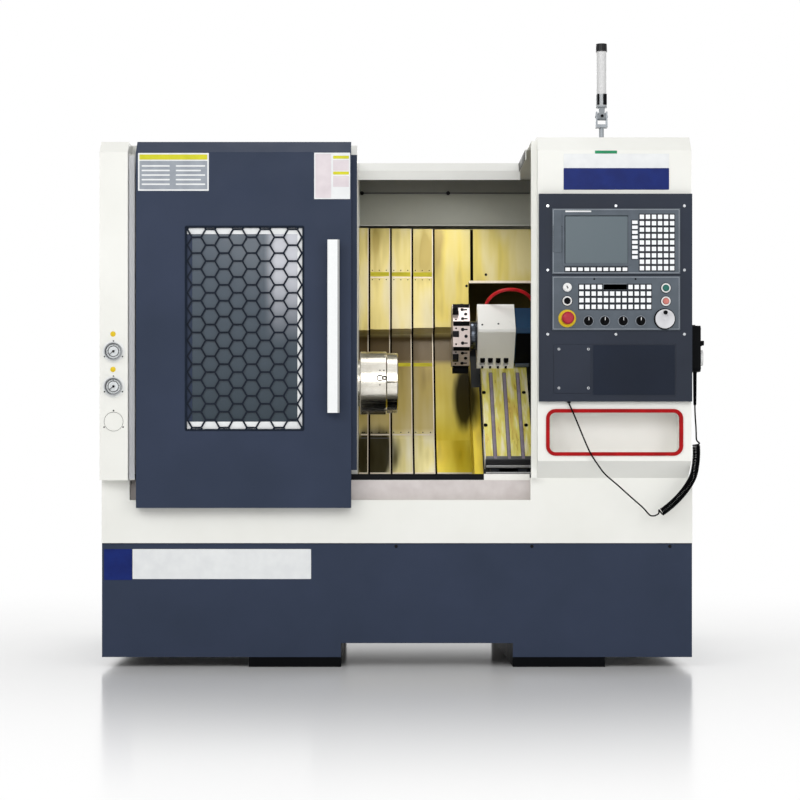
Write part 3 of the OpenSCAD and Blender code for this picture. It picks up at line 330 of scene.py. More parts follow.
@dataclass(frozen=True)
class OiledCover(Finish):
    """Cold rolled steel under yellow cutting oil: runs down the sheet, painted shade by height and a painted
    shadow.

    The film is a row of heights with the tint painted there, painted shade such as the shadow under the
    ledge;
    the painted shadow is an ellipse given by its middle and half sizes in X and Z.
    """

    deep: str = "#8E7C34"
    light: str = "#DDD09A"
    run_mm: float = 55.0
    run_tall: float = 6.0
    run_relief: float = 0.06
    run_depth_mm: float = 0.3
    run_gloss: Pair = (-0.06, 0.08)
    cloud_mm: float = 240.0
    tone_steps: tuple[float, float, float] = (0.36, 0.48, 0.61)
    metal: float = 0.25
    shine: float = 0.5
    # Heights and the tint painted there: painted shade by height.
    film: tuple[tuple[float, str], ...] = ((600.0, "#FFFFFF"),)
    # Painted dark shadow and reflection of the part above: an ellipse with its edge, share, shine and tone.
    shadow_oval: tuple[float, float, float, float] = (0.0, 0.0, 1.0, 1.0)
    shadow_edge: Pair = (1.25, 1.75)
    shadow_strength: float = 0.95
    shadow_shine: float = 0.02
    shadow_tone: str = "#1A150A"

    def surface(self, tree: Tree, place: Socket) -> Inputs:
        """Tall runs of oil over soft clouds, with painted shade by height and a painted dark shadow.

        Args:
            tree: node tree of the material.
            place: Object coordinates.

        Returns:
            Values and links by the name of the socket.
        """
        fine = per_metre(self.run_mm)
        drawn = add_node(tree, "Mapping",
                         {"Vector": place, "Scale": (fine, fine / self.run_tall, fine / self.run_tall)})
        runs = add_node(tree, "TexNoise", {"Vector": drawn.outputs[0], "Scale": 1.0}).outputs[0]
        # Runs multiplied by the tint painted by height: painted shade.
        runs_and_shade = add_node(tree, "Mix",
                         {0: 1.0, 6: self.runny(tree, place, runs), 7: self.tinted(tree, place)},
                         data_type="RGBA", blend_type="MULTIPLY")
        # Painted dark shadow: darker, with little shine and no metal.
        in_shadow = self.shadow_patch_share(tree, place, runs)
        shadowed = add_node(tree, "Mix",
                          {0: in_shadow, 6: runs_and_shade.outputs[2], 7: linear(self.shadow_tone)}, data_type="RGBA")
        metal, shine = (add_node(tree, "MapRange", {"Value": in_shadow, "To Min": off_patch, "To Max": on_patch})
                        for off_patch, on_patch in ((self.metal, 0.0), (self.shine, self.shadow_shine)))
        return {"Base Color": shadowed.outputs[2], "Metallic": metal.outputs[0],
                "Specular IOR Level": shine.outputs[0],
                **self.skin(tree, runs, runs, self.run_gloss, self.run_relief, self.run_depth_mm)}

    def runny(self, tree: Tree, place: Socket, runs: Socket) -> Socket:
        """Tone of the sheet from its runs and clouds, before the film and the pool.

        Args:
            tree: node tree of the material.
            place: Object coordinates.
            runs: pattern of the runs.

        Returns:
            The tone.
        """
        cloud = add_node(tree, "TexNoise",
                         {"Vector": place, "Scale": per_metre(self.cloud_mm), "Detail": 1.0})
        both = add_node(tree, "Mix", {0: 0.5, 2: runs, 3: cloud.outputs[0]})
        tone = add_node(tree, "ValToRGB", {"Fac": both.outputs[0]})
        steps = tone.color_ramp.elements
        for step, position, code in zip(steps, self.tone_steps[::2], (self.deep, self.light)):
            step.position = position
            step.color = linear(code)
        steps.new(self.tone_steps[1]).color = linear(self.colour)
        return tone.outputs[0]

    def tinted(self, tree: Tree, place: Socket) -> Socket:
        """Tint painted by height: painted shade.

        Args:
            tree: node tree of the material.
            place: Object coordinates.

        Returns:
            The tint.
        """
        height = add_node(tree, "SeparateXYZ", {0: place})
        rise = add_node(tree, "MapRange",
                        {"Value": height.outputs["Z"], "From Min": SHADING_LOW * MM, "From Max": SHADING_HIGH * MM})
        tint = add_node(tree, "ValToRGB", {"Fac": rise.outputs[0]})
        steps = tint.color_ramp.elements
        steps.remove(steps[1])
        steps[0].color = linear(self.film[0][1])
        for z, code in self.film[1:]:
            steps.new((z - SHADING_LOW) / (SHADING_HIGH - SHADING_LOW)).color = linear(code)
        return tint.outputs[0]

    def shadow_patch_share(self, tree: Tree, place: Socket, runs: Socket) -> Socket:
        """Share of the painted dark shadow, with an edge made ragged by the runs.

        Args:
            tree: node tree of the material.
            place: Object coordinates.
            runs: pattern of the runs.

        Returns:
            The share, from 0 away from the painted shadow.
        """
        x, z, half_x, half_z = self.shadow_oval
        oval = add_node(tree, "Mapping",
                        {"Vector": place, "Scale": (per_metre(half_x), 0.0, per_metre(half_z)),
                         "Location": ((MIDDLE.x - x) / half_x, 0.0, -z / half_z)})
        away = add_node(tree, "VectorMath", {0: oval.outputs[0]}, operation="LENGTH")
        ragged = add_node(tree, "Math", {0: away.outputs["Value"], 1: runs}, operation="ADD")
        return add_node(tree, "MapRange",
                        {"Value": ragged.outputs[0], "From Min": self.shadow_edge[0],
                         "From Max": self.shadow_edge[1], "To Min": self.shadow_strength, "To Max": 0.0},
                        interpolation_type="SMOOTHSTEP").outputs[0]


@dataclass(frozen=True)
class Moulded(Finish):
    """Injection moulded plastic, rubber or printed film with a fine spark-eroded grain, drawn at 1.2 mm."""

    deep: str = "#000000"
    grain_mm: float = 1.2
    grain: float = 0.1
    grain_depth_mm: float = 0.15
    grain_gloss: Pair = (-0.06, 0.06)
    cloud_mm: float = 40.0

    def surface(self, tree: Tree, place: Socket) -> Inputs:
        """Grain in relief and gloss, and a soft change of tone.

        Args:
            tree: node tree of the material.
            place: Object coordinates.

        Returns:
            Values and links by the name of the socket.
        """
        grain, cloud = (add_node(tree, "TexNoise",
                                 {"Vector": place, "Scale": per_metre(size)}).outputs[0]
                        for size in (self.grain_mm, self.cloud_mm))
        return {"Base Color": self.toned(tree, cloud, self.deep, NOISE_SPAN),
                **self.skin(tree, grain, grain, self.grain_gloss, self.grain, self.grain_depth_mm)}


@dataclass(frozen=True)
class Banded(Finish):
    """Moulding of several colours, changing at set places along one axis, as keys on a mat do."""

    axis: Axis = Axis.Z
    start: float = 0.0
    end: float = 1.0
    bands: tuple[tuple[float, str], ...] = ()
    spot_mm: float = 3.0
    spot: float = 0.0
    spot_relief: float = 0.05
    spot_depth_mm: float = 0.1

    def surface(self, tree: Tree, place: Socket) -> Inputs:
        """Bands by a stepped colour ramp, with a faint grain.

        Args:
            tree: node tree of the material.
            place: Object coordinates.

        Returns:
            Values and links by the name of the socket.
        """
        along = add_node(tree, "SeparateXYZ", {0: place})
        shift = MIDDLE[self.axis.value]
        span = add_node(tree, "MapRange",
                        {"Value": along.outputs[self.axis.value], "From Min": (self.start - shift) * MM,
                         "From Max": (self.end - shift) * MM})
        tone = add_node(tree, "ValToRGB", {"Fac": span.outputs[0]})
        steps = tone.color_ramp.elements
        tone.color_ramp.interpolation = "CONSTANT"
        steps[0].color = linear(self.colour)
        steps.remove(steps[1])
        for position, code in self.bands:
            steps.new((position - self.start) / (self.end - self.start)).color = linear(code)
        spots = add_node(tree, "TexNoise", {"Vector": place, "Scale": per_metre(self.spot_mm)}).outputs[0]
        dim = add_node(tree, "MapRange",
                       {"Value": spots, **NOISE_SPAN, "To Min": 1.0 - self.spot, "To Max": 1.0})
        mixed = add_node(tree, "Mix",
                         {0: 1.0, 6: tone.outputs[0], 7: dim.outputs[0]},
                         data_type="RGBA", blend_type="MULTIPLY")
        bump = add_node(tree, "Bump",
                        {"Strength": self.spot_relief, "Distance": self.spot_depth_mm * MM, "Height": spots})
        return {"Base Color": mixed.outputs[2], "Normal": bump.outputs[0]}


@dataclass(frozen=True)
class Pane(Finish):
    """Clear or smoke-tinted glazing with a trace of smears.

    The tint may deepen towards the foot, and one upper corner may hold a painted pale reflection.
    """

    through: float = 1.0
    foot: str = ""
    low: float = 780.0
    high: float = 1450.0
    smear_mm: float = 80.0
    smear: float = 0.05
    cover: float = 1.0
    reflection: str = ""
    reflection_x: Pair = (535.0, 580.0)
    reflection_z: Pair = (1040.0, 1340.0)
    ior: float = 1.49

    def surface(self, tree: Tree, place: Socket) -> Inputs:
        """Transmission with faint smears, the tint from the foot upwards and the painted pale reflection.

        Args:
            tree: node tree of the material.
            place: Object coordinates.

        Returns:
            Values and links by the name of the socket.
        """
        smear = add_node(tree, "TexNoise",
                         {"Vector": place, "Scale": per_metre(self.smear_mm), "Detail": 4.0})
        gloss = add_node(tree, "MapRange",
                         {"Value": smear.outputs[0], **NOISE_SPAN, "To Min": self.roughness,
                          "To Max": self.roughness + self.smear})
        spot = add_node(tree, "SeparateXYZ", {0: place})
        tone = self.toned(tree, spot.outputs["Z"], self.foot or self.colour,
                          {"From Min": self.low * MM, "From Max": self.high * MM})
        # Pale upper corner: a painted reflection.
        aside, above = (add_node(tree, "MapRange",
                                 {"Value": spot.outputs[axis.name],
                                  "From Min": (low - MIDDLE[axis.value]) * MM,
                                  "From Max": (high - MIDDLE[axis.value]) * MM},
                                 interpolation_type="SMOOTHSTEP")
                        for axis, (low, high) in ((Axis.X, self.reflection_x), (Axis.Z, self.reflection_z)))
        share = add_node(tree, "Math", {0: aside.outputs[0], 1: above.outputs[0]}, operation="MULTIPLY")
        pale = add_node(tree, "Mix",
                        {0: share.outputs[0], 6: tone, 7: linear(self.reflection or self.colour)},
                        data_type="RGBA")
        return {"Base Color": pale.outputs[2], "Roughness": gloss.outputs[0],
                "Transmission Weight": self.through, "Alpha": self.cover, "IOR": self.ior}


# Polyester powder coat on sheet steel: even and satin, with a soft orange peel.
SLATE = Paint("slate_powder_coat", "slate_paint", "#323B4F", 0.45, "#2D3648", specular=0.12)
IVORY = Paint("ivory_powder_coat", "ivory_paint", "#EDEDE8", 0.45, "#E7E7E1")
# Whiter copy of the ivory for the recessed lip beside the door: painted light.
LIP_WHITE = Paint("lit_white_lip_coat", "ivory_paint", "#FBFCFE", 0.5, "#F6F7FA")
# Two-pack enamel on sheet and castings: a little glossier; the grey, inside and dark hood copies are painted
# shade.
GUARD = Paint("pale_grey_enamel", "guard_paint", "#E8E8E4", 0.4, "#DEDED9")
HOOD_GREY = Paint("shaded_hood_enamel", "guard_paint", "#7F7F7A", 0.5, "#777772")
HOOD_INSIDE = Paint("shaded_back_wall_enamel", "guard_paint", "#A9AAA1", 0.5, "#9FA097")
HOOD_DARK = Paint("dark_hood_enamel", "guard_paint", "#4A4A46", 0.5, "#444440")
# Olive enamel of the shroud behind the turret: painted shade.
OLIVE = Paint("shade_shroud_enamel", "black_paint", "#6B5C2C", 0.5, "#5A4C22", specular=0.08)
TURRET_WHITE = Paint("white_machine_enamel", "turret_white", "#F6F5F2", 0.3, "#EFEEE9")
MOTOR_BLUE = Paint("blue_motor_enamel", "motor_blue", "#214567", 0.35, "#18344F")
BLACK_ENAMEL = Paint("black_enamel", "black_paint", "#0B0C0F", 0.5, "#08090B", specular=0.03)
MESH = Paint("slate_guard_enamel", "black_paint", "#232934", 0.5, "#1D222B", specular=0.04)
# Sprayed casting: the sand skin shows through the coat as a coarse grain.
CASTING = Paint("grey_casting_enamel", "cast_grey", "#33363B", 0.5, "#292C30", 14.0, 0.5)
# Hammer enamel: a pebbled skin that breaks up the highlight.
# The next two are darker copies: painted shade in the recessed field and in the display grooves.
PLATE_SHADE = Paint("recess_shade_hammer_plate", "plate_black", "#1F2634", 0.5, "#1B212D", 3.0, 0.2, specular=0.1)
RECESS = Paint("shaded_hammer_plate", "plate_black", "#191F2B", 0.5, "#151A24", 3.0, 0.2, specular=0.05)
PLATE_BLACK = Paint("black_hammer_plate", "plate_black", "#232A38", 0.45, "#1E2430", 3.0, 0.2)
# Ground and turned steel: fine lines that draw the highlight out along the cut.
GROUND = Steel("ground_steel", "ground_steel", "#DDD5BF", 0.3, "#B9AF93")
CHUCK = Steel("turned_chuck_steel", "chuck_steel", "#F0ECE2", 0.2, "#D6D0C2", Axis.X, 0.8, 0.03, 1.0)
DISC_STEEL = Steel("ground_disc_steel", "chuck_steel", "#D9CCC8", 0.35, "#C8BAB5", Axis.X, 1.2, 0.05, 0.35)
# Pale steel of the strips on the covers' edges and folds: painted highlights.
BRIGHT_EDGE = Steel("bright_sheet_edge", "ground_steel", "#F6EBDD", 0.35, "#E2D3B8", Axis.Z, 2.0, 0.04, 0.2)
# Zinc plate: dull silver that keeps its own grey under any sky.
ZINC = Steel("zinc_plate", "chrome", "#9BA0A5", 0.4, "#858A8F", Axis.Z, 1.0, 0.05, 0.3)
# Hard chrome: a clear mirror with hardly a line.
CHROME = Steel("polished_chrome", "chrome", "#DADDE0", 0.12, "#B9BDC1", Axis.Z, 0.6, 0.03)
# Blackened steel: a thin oxide that keeps a dull metallic glance.
HUB_STEEL = Steel("dark_hub_steel", "tool_black", "#5A6068", 0.2, "#22262C", Axis.X, 1.5, 0.05, 0.9)
BLACK_STEEL = Steel("blackened_tool_steel", "tool_black", "#1B1B1F", 0.42, "#0E0E11", Axis.X, 1.0, 0.1, 0.5)
# Cold rolled sheet under cutting oil: straw yellow, with shade painted by height (the brown band is a painted
# shadow under the ledge) and a dark painted shadow and reflection below the chuck and below the turret.
COVER = OiledCover("oiled_cover_steel", "cover_steel", "#EADD98", 0.34, "#B3A152", "#F8F2DA",
                   film=((600.0, "#FFFFFF"), (764.0, "#FFFFFF"), (800.0, "#D4C79A"), (1036.0, "#A39566"),
                         (1056.0, "#5C4B28"), (1140.0, "#4E3F22"), (1168.0, "#E8E0C0"), (1400.0, "#EEE8D4")),
                   shadow_oval=(898.0, 702.0, 84.0, 95.0))
SADDLE_SHEET = OiledCover("oiled_saddle_sheet", "cover_steel", "#E8DA7C", 0.34, "#AC994A", "#F6EFC8",
                          film=((600.0, "#FFF04A"), (770.0, "#FFEE5C"), (880.0, "#F0E284"),
                                (1036.0, "#B3A458"), (1056.0, "#5C4B28"), (1140.0, "#4E3F22"),
                                (1168.0, "#E6DBB4"), (1400.0, "#E0D8B8")),
                          shadow_oval=(1229.0, 910.0, 46.0, 120.0))
TABLE = OiledCover("oiled_table_steel", "ground_steel", "#DCD264", 0.32, "#CDB04A", "#F2EAD4", 16.0)
# Grained ABS: matt and even, with the faint sparkle of the mould.
UNIT_GREY = Moulded("grey_abs_housing", "unit_grey", "#59616A", 0.5, "#525A62")
KEY_GREY = Moulded("mid_grey_abs", "unit_grey", "#6F767D", 0.5, "#676E75")
YELLOW = Moulded("yellow_abs", "yellow_plastic", "#E3C522", 0.35, "#D6B51E")
RED = Moulded("red_abs", "red_plastic", "#B3303F", 0.3, "#9F2836")
WHITE = Moulded("white_abs", "white_plastic", "#EAEAE9", 0.35, "#E2E2E1")
PALE_GREY = Moulded("pale_grey_abs", "white_plastic", "#D6D6D9", 0.4, "#CCCCCF")
BLACK = Moulded("black_abs", "black_plastic", "#0B0C0E", 0.45, "#08090B", specular=0.04)
# Polycarbonate lens caps: smooth and deep in colour.
GREEN = Moulded("green_lens", "green_plastic", "#2F7066", 0.25, "#28635A")
ORANGE = Moulded("orange_lens", "orange_plastic", "#C67A71", 0.25, "#B86B62")
# Rubber: dull, with no clear highlight, and wet-looking where it is a hose.
RED_TRIM = Moulded("red_rubber_trim", "red_rubber", "#AC181C", 0.55, "#971518", specular=0.05)
RED_HOSE = Moulded("red_rubber_hose", "red_hose", "#D8242A", 0.38, "#B91D22")
BLACK_RUBBER = Moulded("black_rubber", "black_rubber", "#0B0C0D", 0.6, "#08090A", specular=0.02)
CORD = Moulded("black_pvc_cord", "black_rubber", "#0E0F10", 0.6, "#0A0B0C", specular=0.0)
# Dark rubber of the saddle seal and the cover lips; the lips partly stand in for the seams' shadow: painted
# shadow.
LIP_BROWN = Moulded("oily_wiper_rubber", "black_rubber", "#120C06", 0.6, "#0D0904", specular=0.0)
WINDOW_SEAL = Moulded("slate_rubber_seal", "black_rubber", "#242B37", 0.6, "#1E242E", specular=0.0)
# Yellow of the wipers and of the glint strips; the glints are a painted reflection on the oil.
WIPER_AND_GLINT_YELLOW = Moulded("yellow_wiper_rubber", "yellow_plastic", "#D9CE2A", 0.45, "#CBBD24")
# Printed polyester film: flat, thin and slightly glossy.
GREEN_FILM = Moulded("green_label_film", "green_plastic", "#1C8A5C", 0.3, "#187A51")
NAVY = Moulded("navy_label_film", "plate_black", "#182A6E", 0.3, "#162461", specular=0.1)
LABEL = Moulded("white_label_film", "white_plastic", "#E6E8E8", 0.35, "#DEE0E1")
LABEL_LEMON = Moulded("lemon_label_print", "yellow_plastic", "#D0CC22", 0.35, "#C4C01E")
LABEL_GREY = Moulded("grey_label_print", "unit_grey", "#9AA0A8", 0.35, "#8D939B")
LABEL_PINK = Moulded("pale_label_print", "white_plastic", "#DCD3D6", 0.35, "#D2C8CC")
# Grey sheet on the recessed sill and grey strips in the table's slots: painted shade of the recesses.
SILL = Moulded("sill_liner", "ivory_paint", "#D2CBC9", 0.45, "#C8C0BE")
SLOT_GREY = Moulded("slot_filler", "unit_grey", "#958B9A", 0.4, "#7F7583")
# Glass and polycarbonate: clear on the gauges, smoke in the door, dull over the display.
CLEAR = Pane("clear_gauge_glass", "clear_glass", "#F4F8FA", 0.02, cover=0.2)
# The door pane is darker towards the foot and holds a painted pale reflection in its upper right corner.
SMOKE = Pane("smoke_polycarbonate", "smoke_glass", "#5C6671", 0.08, 0.15, "#38444D", reflection="#C8CAD2")
SCREEN = Pane("dull_display_glass", "screen_glass", "#5F6A70", 0.2, 0.0)
# Mouldings and rails of two or three colours: silicone keys, stacked lamp housing, part-sprayed rails.
KEYS = Banded("silicone_keypads", "key_plastic", "#F4F6F8", 0.5, Axis.Y, -110.0, -104.0,
              ((-107.9, "#565D63"), (-106.9, "#1E232B")), 4.0, 0.08)
TOWER = Banded("signal_tower_mouldings", "white_plastic", "#8C9195", 0.3, Axis.Z, 1800.0, 2080.0,
               ((1862.0, "#B0B3B5"), (1901.0, "#D4D4D4"), (2043.0, "#131416")), 8.0, 0.03)
RAILS = Banded("rail_enamel", "black_paint", "#0D0E11", 0.4, Axis.X, 90.0, 1420.0, ((1261.0, "#EFEDE8"),),
               8.0, 0.03, specular=0.08)
GAUGES = Banded("gauge_mouldings", "chrome", "#9EA1A4", 0.35, Axis.Y, -82.0, -60.0, ((-65.2, "#ECEDEB"),),
                6.0, 0.03)
# Grey from X 780 to the right end of the handle: painted shade on its right side.
HANDLE = Banded("handle_moulding", "white_plastic", "#EEF0F0", 0.35, Axis.X, 740.0, 790.0,
                ((780.0, "#A4A6A6"),), 6.0, 0.03)

NODE_FINISH: dict[str, Finish] = {
    "base_casting": BLACK_ENAMEL, "base_skirt": SLATE, "slant_bed": CASTING, "front_apron": IVORY,
    "door_rails": RAILS, "left_end_cover": IVORY, "headstock_guard": GUARD, "rear_hood": GUARD,
    "rear_cover": IVORY, "control_cabinet": IVORY, "niche_trim": RED_TRIM, "control_plate": PLATE_BLACK,
    "display_unit": UNIT_GREY, "display_screen": SCREEN, "keypads": KEYS, "operator_panel": UNIT_GREY,
    "estop_collar": YELLOW, "gauge_cases": GAUGES, "gauge_glasses": CLEAR, "pendant_bracket": BLACK_ENAMEL,
    "pendant_body": BLACK, "cable_gland": BLACK, "cord_leads": CORD, "cord_coil": CORD,
    "signal_base": ZINC, "headstock": CASTING, "z_rails": GROUND, "way_cover_1": COVER,
    "door_panel": SLATE, "door_mesh": MESH, "door_window": SMOKE, "door_handle": HANDLE,
    "spindle": CHUCK, "chuck_body": CHUCK, "chuck_jaw_1": CHUCK, "chuck_jaw_2": CHUCK, "chuck_jaw_3": CHUCK,
    "saddle": CASTING, "saddle_cover": SADDLE_SHEET, "way_cover_2": COVER, "way_cover_3": COVER,
    "way_cover_4": COVER, "cross_slide": TABLE, "turret_body": TURRET_WHITE, "turret_motor": MOTOR_BLUE,
    "turret_disc": DISC_STEEL, "turret_tools": BLACK_STEEL, "turret_hose": RED_HOSE, "estop_button": RED,
    "key_switch": WHITE, "power_button": BLACK, "start_button": GREEN, "stop_button": ORANGE,
    "override_knob_1": BLACK, "override_knob_2": BLACK, "override_knob_3": BLACK, "override_knob_4": BLACK,
    "handwheel": PALE_GREY, "pendant_wheel": WHITE, "signal_tower": TOWER,
}


def hold(piece: Piece) -> None:
    """Makes a piece the only selected and active one.

    Args:
        piece: piece to select.
    """
    bpy.ops.object.select_all(action="DESELECT")
    piece.select_set(True)
    bpy.context.view_layer.objects.active = piece


def settle(piece: Piece, name: str) -> Piece:
    """Names a piece and puts its place into its mesh.

    Args:
        piece: piece to settle.
        name: name of the piece.

    Returns:
        The same piece.
    """
    hold(piece)
    bpy.ops.object.transform_apply(location=True, rotation=True, scale=True)
    piece.name = name
    piece.data.name = name
    return piece


def ease(piece: Piece, width: float, segments: int = 2) -> Piece:
    """Breaks the edges of a piece with a bevel and smooths it.

    Args:
        piece: piece to ease.
        width: width of the bevel in millimetres; 0 leaves the edges sharp.
        segments: number of flats across the bevel.

    Returns:
        The same piece.
    """
    hold(piece)
    if width > 0.0:
        bevel = piece.modifiers.new("edges", "BEVEL")
        bevel.width = width * MM
        bevel.segments = segments
        bevel.limit_method = "ANGLE"
        bevel.angle_limit = math.radians(BEVEL_ANGLE)
        bpy.ops.object.modifier_apply(modifier=bevel.name)
    bpy.ops.object.shade_smooth_by_angle(angle=math.radians(SMOOTH_ANGLE))
    return piece


def put(piece: Piece, name: str, place: Vector, facing: Facing) -> None:
    """Turns a piece made at the origin, moves it to its place and settles it."""
    piece.matrix_world = Matrix.Translation(place) @ facing.turn()
    settle(piece, name)


def block(name: str, low: Sequence[float], high: Sequence[float], edge: float = 0.5,
          slanted: bool = False) -> Piece:
    """Cube drawn to two corners, with its edges broken.

    Args:
        name: name of the piece.
        low: lowest corner, in bench millimetres or along the slope.
        high: highest corner.
        edge: width of the broken edge in millimetres.
        slanted: whether the corners are given along the slope.

    Returns:
        The piece.
    """
    middle = [(a + b) / 2.0 for a, b in zip(low, high)]
    size = [(b - a) * MM for a, b in zip(low, high)]
    bpy.ops.mesh.primitive_cube_add(size=1.0, scale=size)
    piece = settle(bpy.context.object, name)
    place = bench(*on_slope(*middle)) if slanted else bench(*middle)
    put(piece, name, place, Facing.OFF_SLOPE if slanted else Facing.UP)
    return ease(piece, edge)


def turned(name: str, place: Vector, facing: Facing, profile: Sequence[Pair],
           sides: int = 40, closed: bool = False) -> Piece:
    """Round piece drawn out ring by ring, as on a lathe.

    Args:
        name: name of the piece.
        place: middle of its foot, in metres.
        facing: way that its height points.
        profile: radius and height of each ring in millimetres.
        sides: number of flats round it.
        closed: whether the profile comes back to its first ring, which leaves a hole.

    Returns:
        The piece.
    """
    bpy.ops.mesh.primitive_circle_add(vertices=sides, radius=profile[0][0] * MM,
                                      fill_type="NOTHING" if closed else "NGON")
    piece = bpy.context.object
    bpy.ops.object.mode_set(mode="EDIT")
    bpy.ops.mesh.select_all(action="SELECT")
    bpy.ops.transform.translate(value=(0.0, 0.0, profile[0][1] * MM))
    for (r_a, h_a), (r_b, h_b) in zip(profile, profile[1:]):
        bpy.ops.mesh.extrude_region_move(TRANSFORM_OT_translate={"value": (0.0, 0.0, (h_b - h_a) * MM)})
        grow = r_b / r_a
        bpy.ops.transform.resize(value=(grow, grow, 1.0), center_override=(0.0, 0.0, h_b * MM))
    bpy.ops.mesh.select_all(action="SELECT")
    bpy.ops.mesh.remove_doubles(threshold=1e-6)
    bpy.ops.mesh.normals_make_consistent(inside=False)
    bpy.ops.object.mode_set(mode="OBJECT")
    put(piece, name, place, facing)
    return ease(piece, 0.0)


def plate(name: str, place: Vector, facing: Facing, width: float, height: float, thick: float,
          corner: float = 3.0, border: float = 0.0) -> Piece:
    """Flat plate with round corners, or a frame when a border is given.

    Args:
        name: name of the piece.
        place: middle of its back, in metres.
        facing: way that its front points.
        width: width in millimetres.
        height: height in millimetres.
        thick: thickness in millimetres.
        corner: radius of its corners in millimetres.
        border: width of the frame in millimetres; 0 leaves the plate full.

    Returns:
        The piece.
    """
    bpy.ops.mesh.primitive_plane_add(size=1.0)
    piece = bpy.context.object
    piece.scale = (width * MM, height * MM, 1.0)
    settle(piece, name)
    bpy.ops.object.mode_set(mode="EDIT")
    bpy.ops.mesh.select_all(action="SELECT")
    if corner > 0.0:
        bpy.ops.mesh.bevel(offset=corner * MM, segments=4, affect="VERTICES")
        bpy.ops.mesh.select_all(action="SELECT")
    if border > 0.0:
        bpy.ops.mesh.inset(thickness=border * MM)
        bpy.ops.mesh.delete(type="FACE")
        bpy.ops.mesh.select_all(action="SELECT")
    bpy.ops.mesh.extrude_region_move(TRANSFORM_OT_translate={"value": (0.0, 0.0, thick * MM)})
    bpy.ops.mesh.select_all(action="SELECT")
    bpy.ops.mesh.normals_make_consistent(inside=False)
    bpy.ops.object.mode_set(mode="OBJECT")
    put(piece, name, place, facing)
    return ease(piece, min(0.25, thick / 4.0), 1)


def panel(name: str, area: Area, y: float, thick: float, corner: float = 1.5, border: float = 0.0) -> Piece:
    """Plate or frame that faces the operator, given by its edges.

    Args:
        name: name of the piece.
        area: left, right, lower and upper edge in bench millimetres.
        y: depth of its back.
        thick: thickness.
        corner: radius of its corners.
        border: width of the frame; 0 leaves the plate full.

    Returns:
        The piece.
    """
    x0, x1, z0, z1 = area
    middle = bench((x0 + x1) / 2.0, y, (z0 + z1) / 2.0)
    return plate(name, middle, Facing.FRONT, x1 - x0, z1 - z0, thick, corner, border)


def ribbon(name: str, path: Sequence[Pair], x0: float, x1: float, thick: float) -> Piece:
    """Strip folded along a path of depth and height, as a sheet is bent on a brake.

    Args:
        name: name of the piece.
        path: depth and height of each fold in bench millimetres, from the top down.
        x0: left edge.
        x1: right edge.
        thick: thickness towards the operator.

    Returns:
        The piece.
    """
    places = [bench((x0 + x1) / 2.0, y, z) for y, z in path]
    first = places[1] - places[0]
    bpy.ops.mesh.primitive_plane_add(size=1.0)
    piece = bpy.context.object
    piece.scale = ((x1 - x0) * MM, first.length, 1.0)
    piece.rotation_euler = (math.atan2(first.z, first.y), 0.0, 0.0)
    piece.location = (places[0] + places[1]) / 2.0
    settle(piece, name)
    bpy.ops.object.mode_set(mode="EDIT")
    bpy.ops.mesh.select_all(action="DESELECT")
    bpy.ops.object.mode_set(mode="OBJECT")
    for corner in piece.data.vertices:
        corner.select = (corner.co - places[1]).dot(first) > -1e-6
    bpy.ops.object.mode_set(mode="EDIT")
    for a, b in zip(places[1:], places[2:]):
        bpy.ops.mesh.extrude_region_move(TRANSFORM_OT_translate={"value": b - a})
    bpy.ops.object.mode_set(mode="OBJECT")
    sheet = piece.modifiers.new("sheet", "SOLIDIFY")
    sheet.thickness = thick * MM
    sheet.offset = -1.0
    sheet.use_even_offset = True
    bpy.ops.object.modifier_apply(modifier=sheet.name)
    return ease(piece, 0.0)


def gather(name: str, parts: Sequence[Piece]) -> Piece:
    """Joins parts of one finish into one piece.

    Args:
        name: name of the piece.
        parts: parts to join.

    Returns:
        The joined piece.
    """
    hold(parts[0])
    for part in parts[1:]:
        part.select_set(True)
    if len(parts) > 1:
        bpy.ops.object.join()
    return settle(parts[0], name)


def spread(name: str, master: Piece, frames: Iterable[Matrix]) -> Piece:
    """Copies a part made at the origin to many places and joins the copies.

    Args:
        name: name of the piece.
        master: part to copy; it goes away.
        frames: place and turn of each copy, in metres.

    Returns:
        The joined piece.
    """
    copies = []
    for frame in frames:
        copy = master.copy()
        copy.data = master.data.copy()
        bpy.context.scene.collection.objects.link(copy)
        copy.matrix_world = frame
        copies.append(copy)
    bpy.data.objects.remove(master, do_unlink=True)
    return gather(name, copies)


def at(x: float, y: float, z: float, facing: Facing = Facing.UP) -> Matrix:
    """Frame of a copy at a bench place."""
    return Matrix.Translation(bench(x, y, z)) @ facing.turn()


def origin_block(name: str, low: Point, high: Point, edge: float) -> Piece:
    """Block with its corners given from the origin, for a part that is copied."""
    return block(name, MIDDLE + Vector(low), MIDDLE + Vector(high), edge)


def origin_turned(name: str, profile: Sequence[Pair], sides: int, closed: bool = False) -> Piece:
    """Round piece that stands on the origin, for a part that is copied."""
    return turned(name, Vector(), Facing.UP, profile, sides, closed)


def socket_screw(radius: float, height: float, sides: int = 20) -> Piece:
    """Cap screw head with its socket, made at the origin and pointing up.

    Args:
        radius: radius of the head in millimetres.
        height: height of the head.
        sides: number of flats round it.

    Returns:
        The head.
    """
    shares = ((1.0, 0.0), (1.0, 0.8), (0.86, 1.0), (0.52, 1.0), (0.5, 0.35))
    return origin_turned("screw", [(r * radius, h * height) for r, h in shares], sides)


def round_head(radius: float, height: float, sides: int = 16) -> Piece:
    """Domed rivet or button head, made at the origin and pointing up.

    Args:
        radius: radius of the head in millimetres.
        height: height of the head.
        sides: number of flats round it.

    Returns:
        The head.
    """
    shares = ((1.0, 0.0), (0.96, 0.35), (0.7, 0.8), (0.3, 1.0))
    return origin_turned("head", [(r * radius, h * height) for r, h in shares], sides)


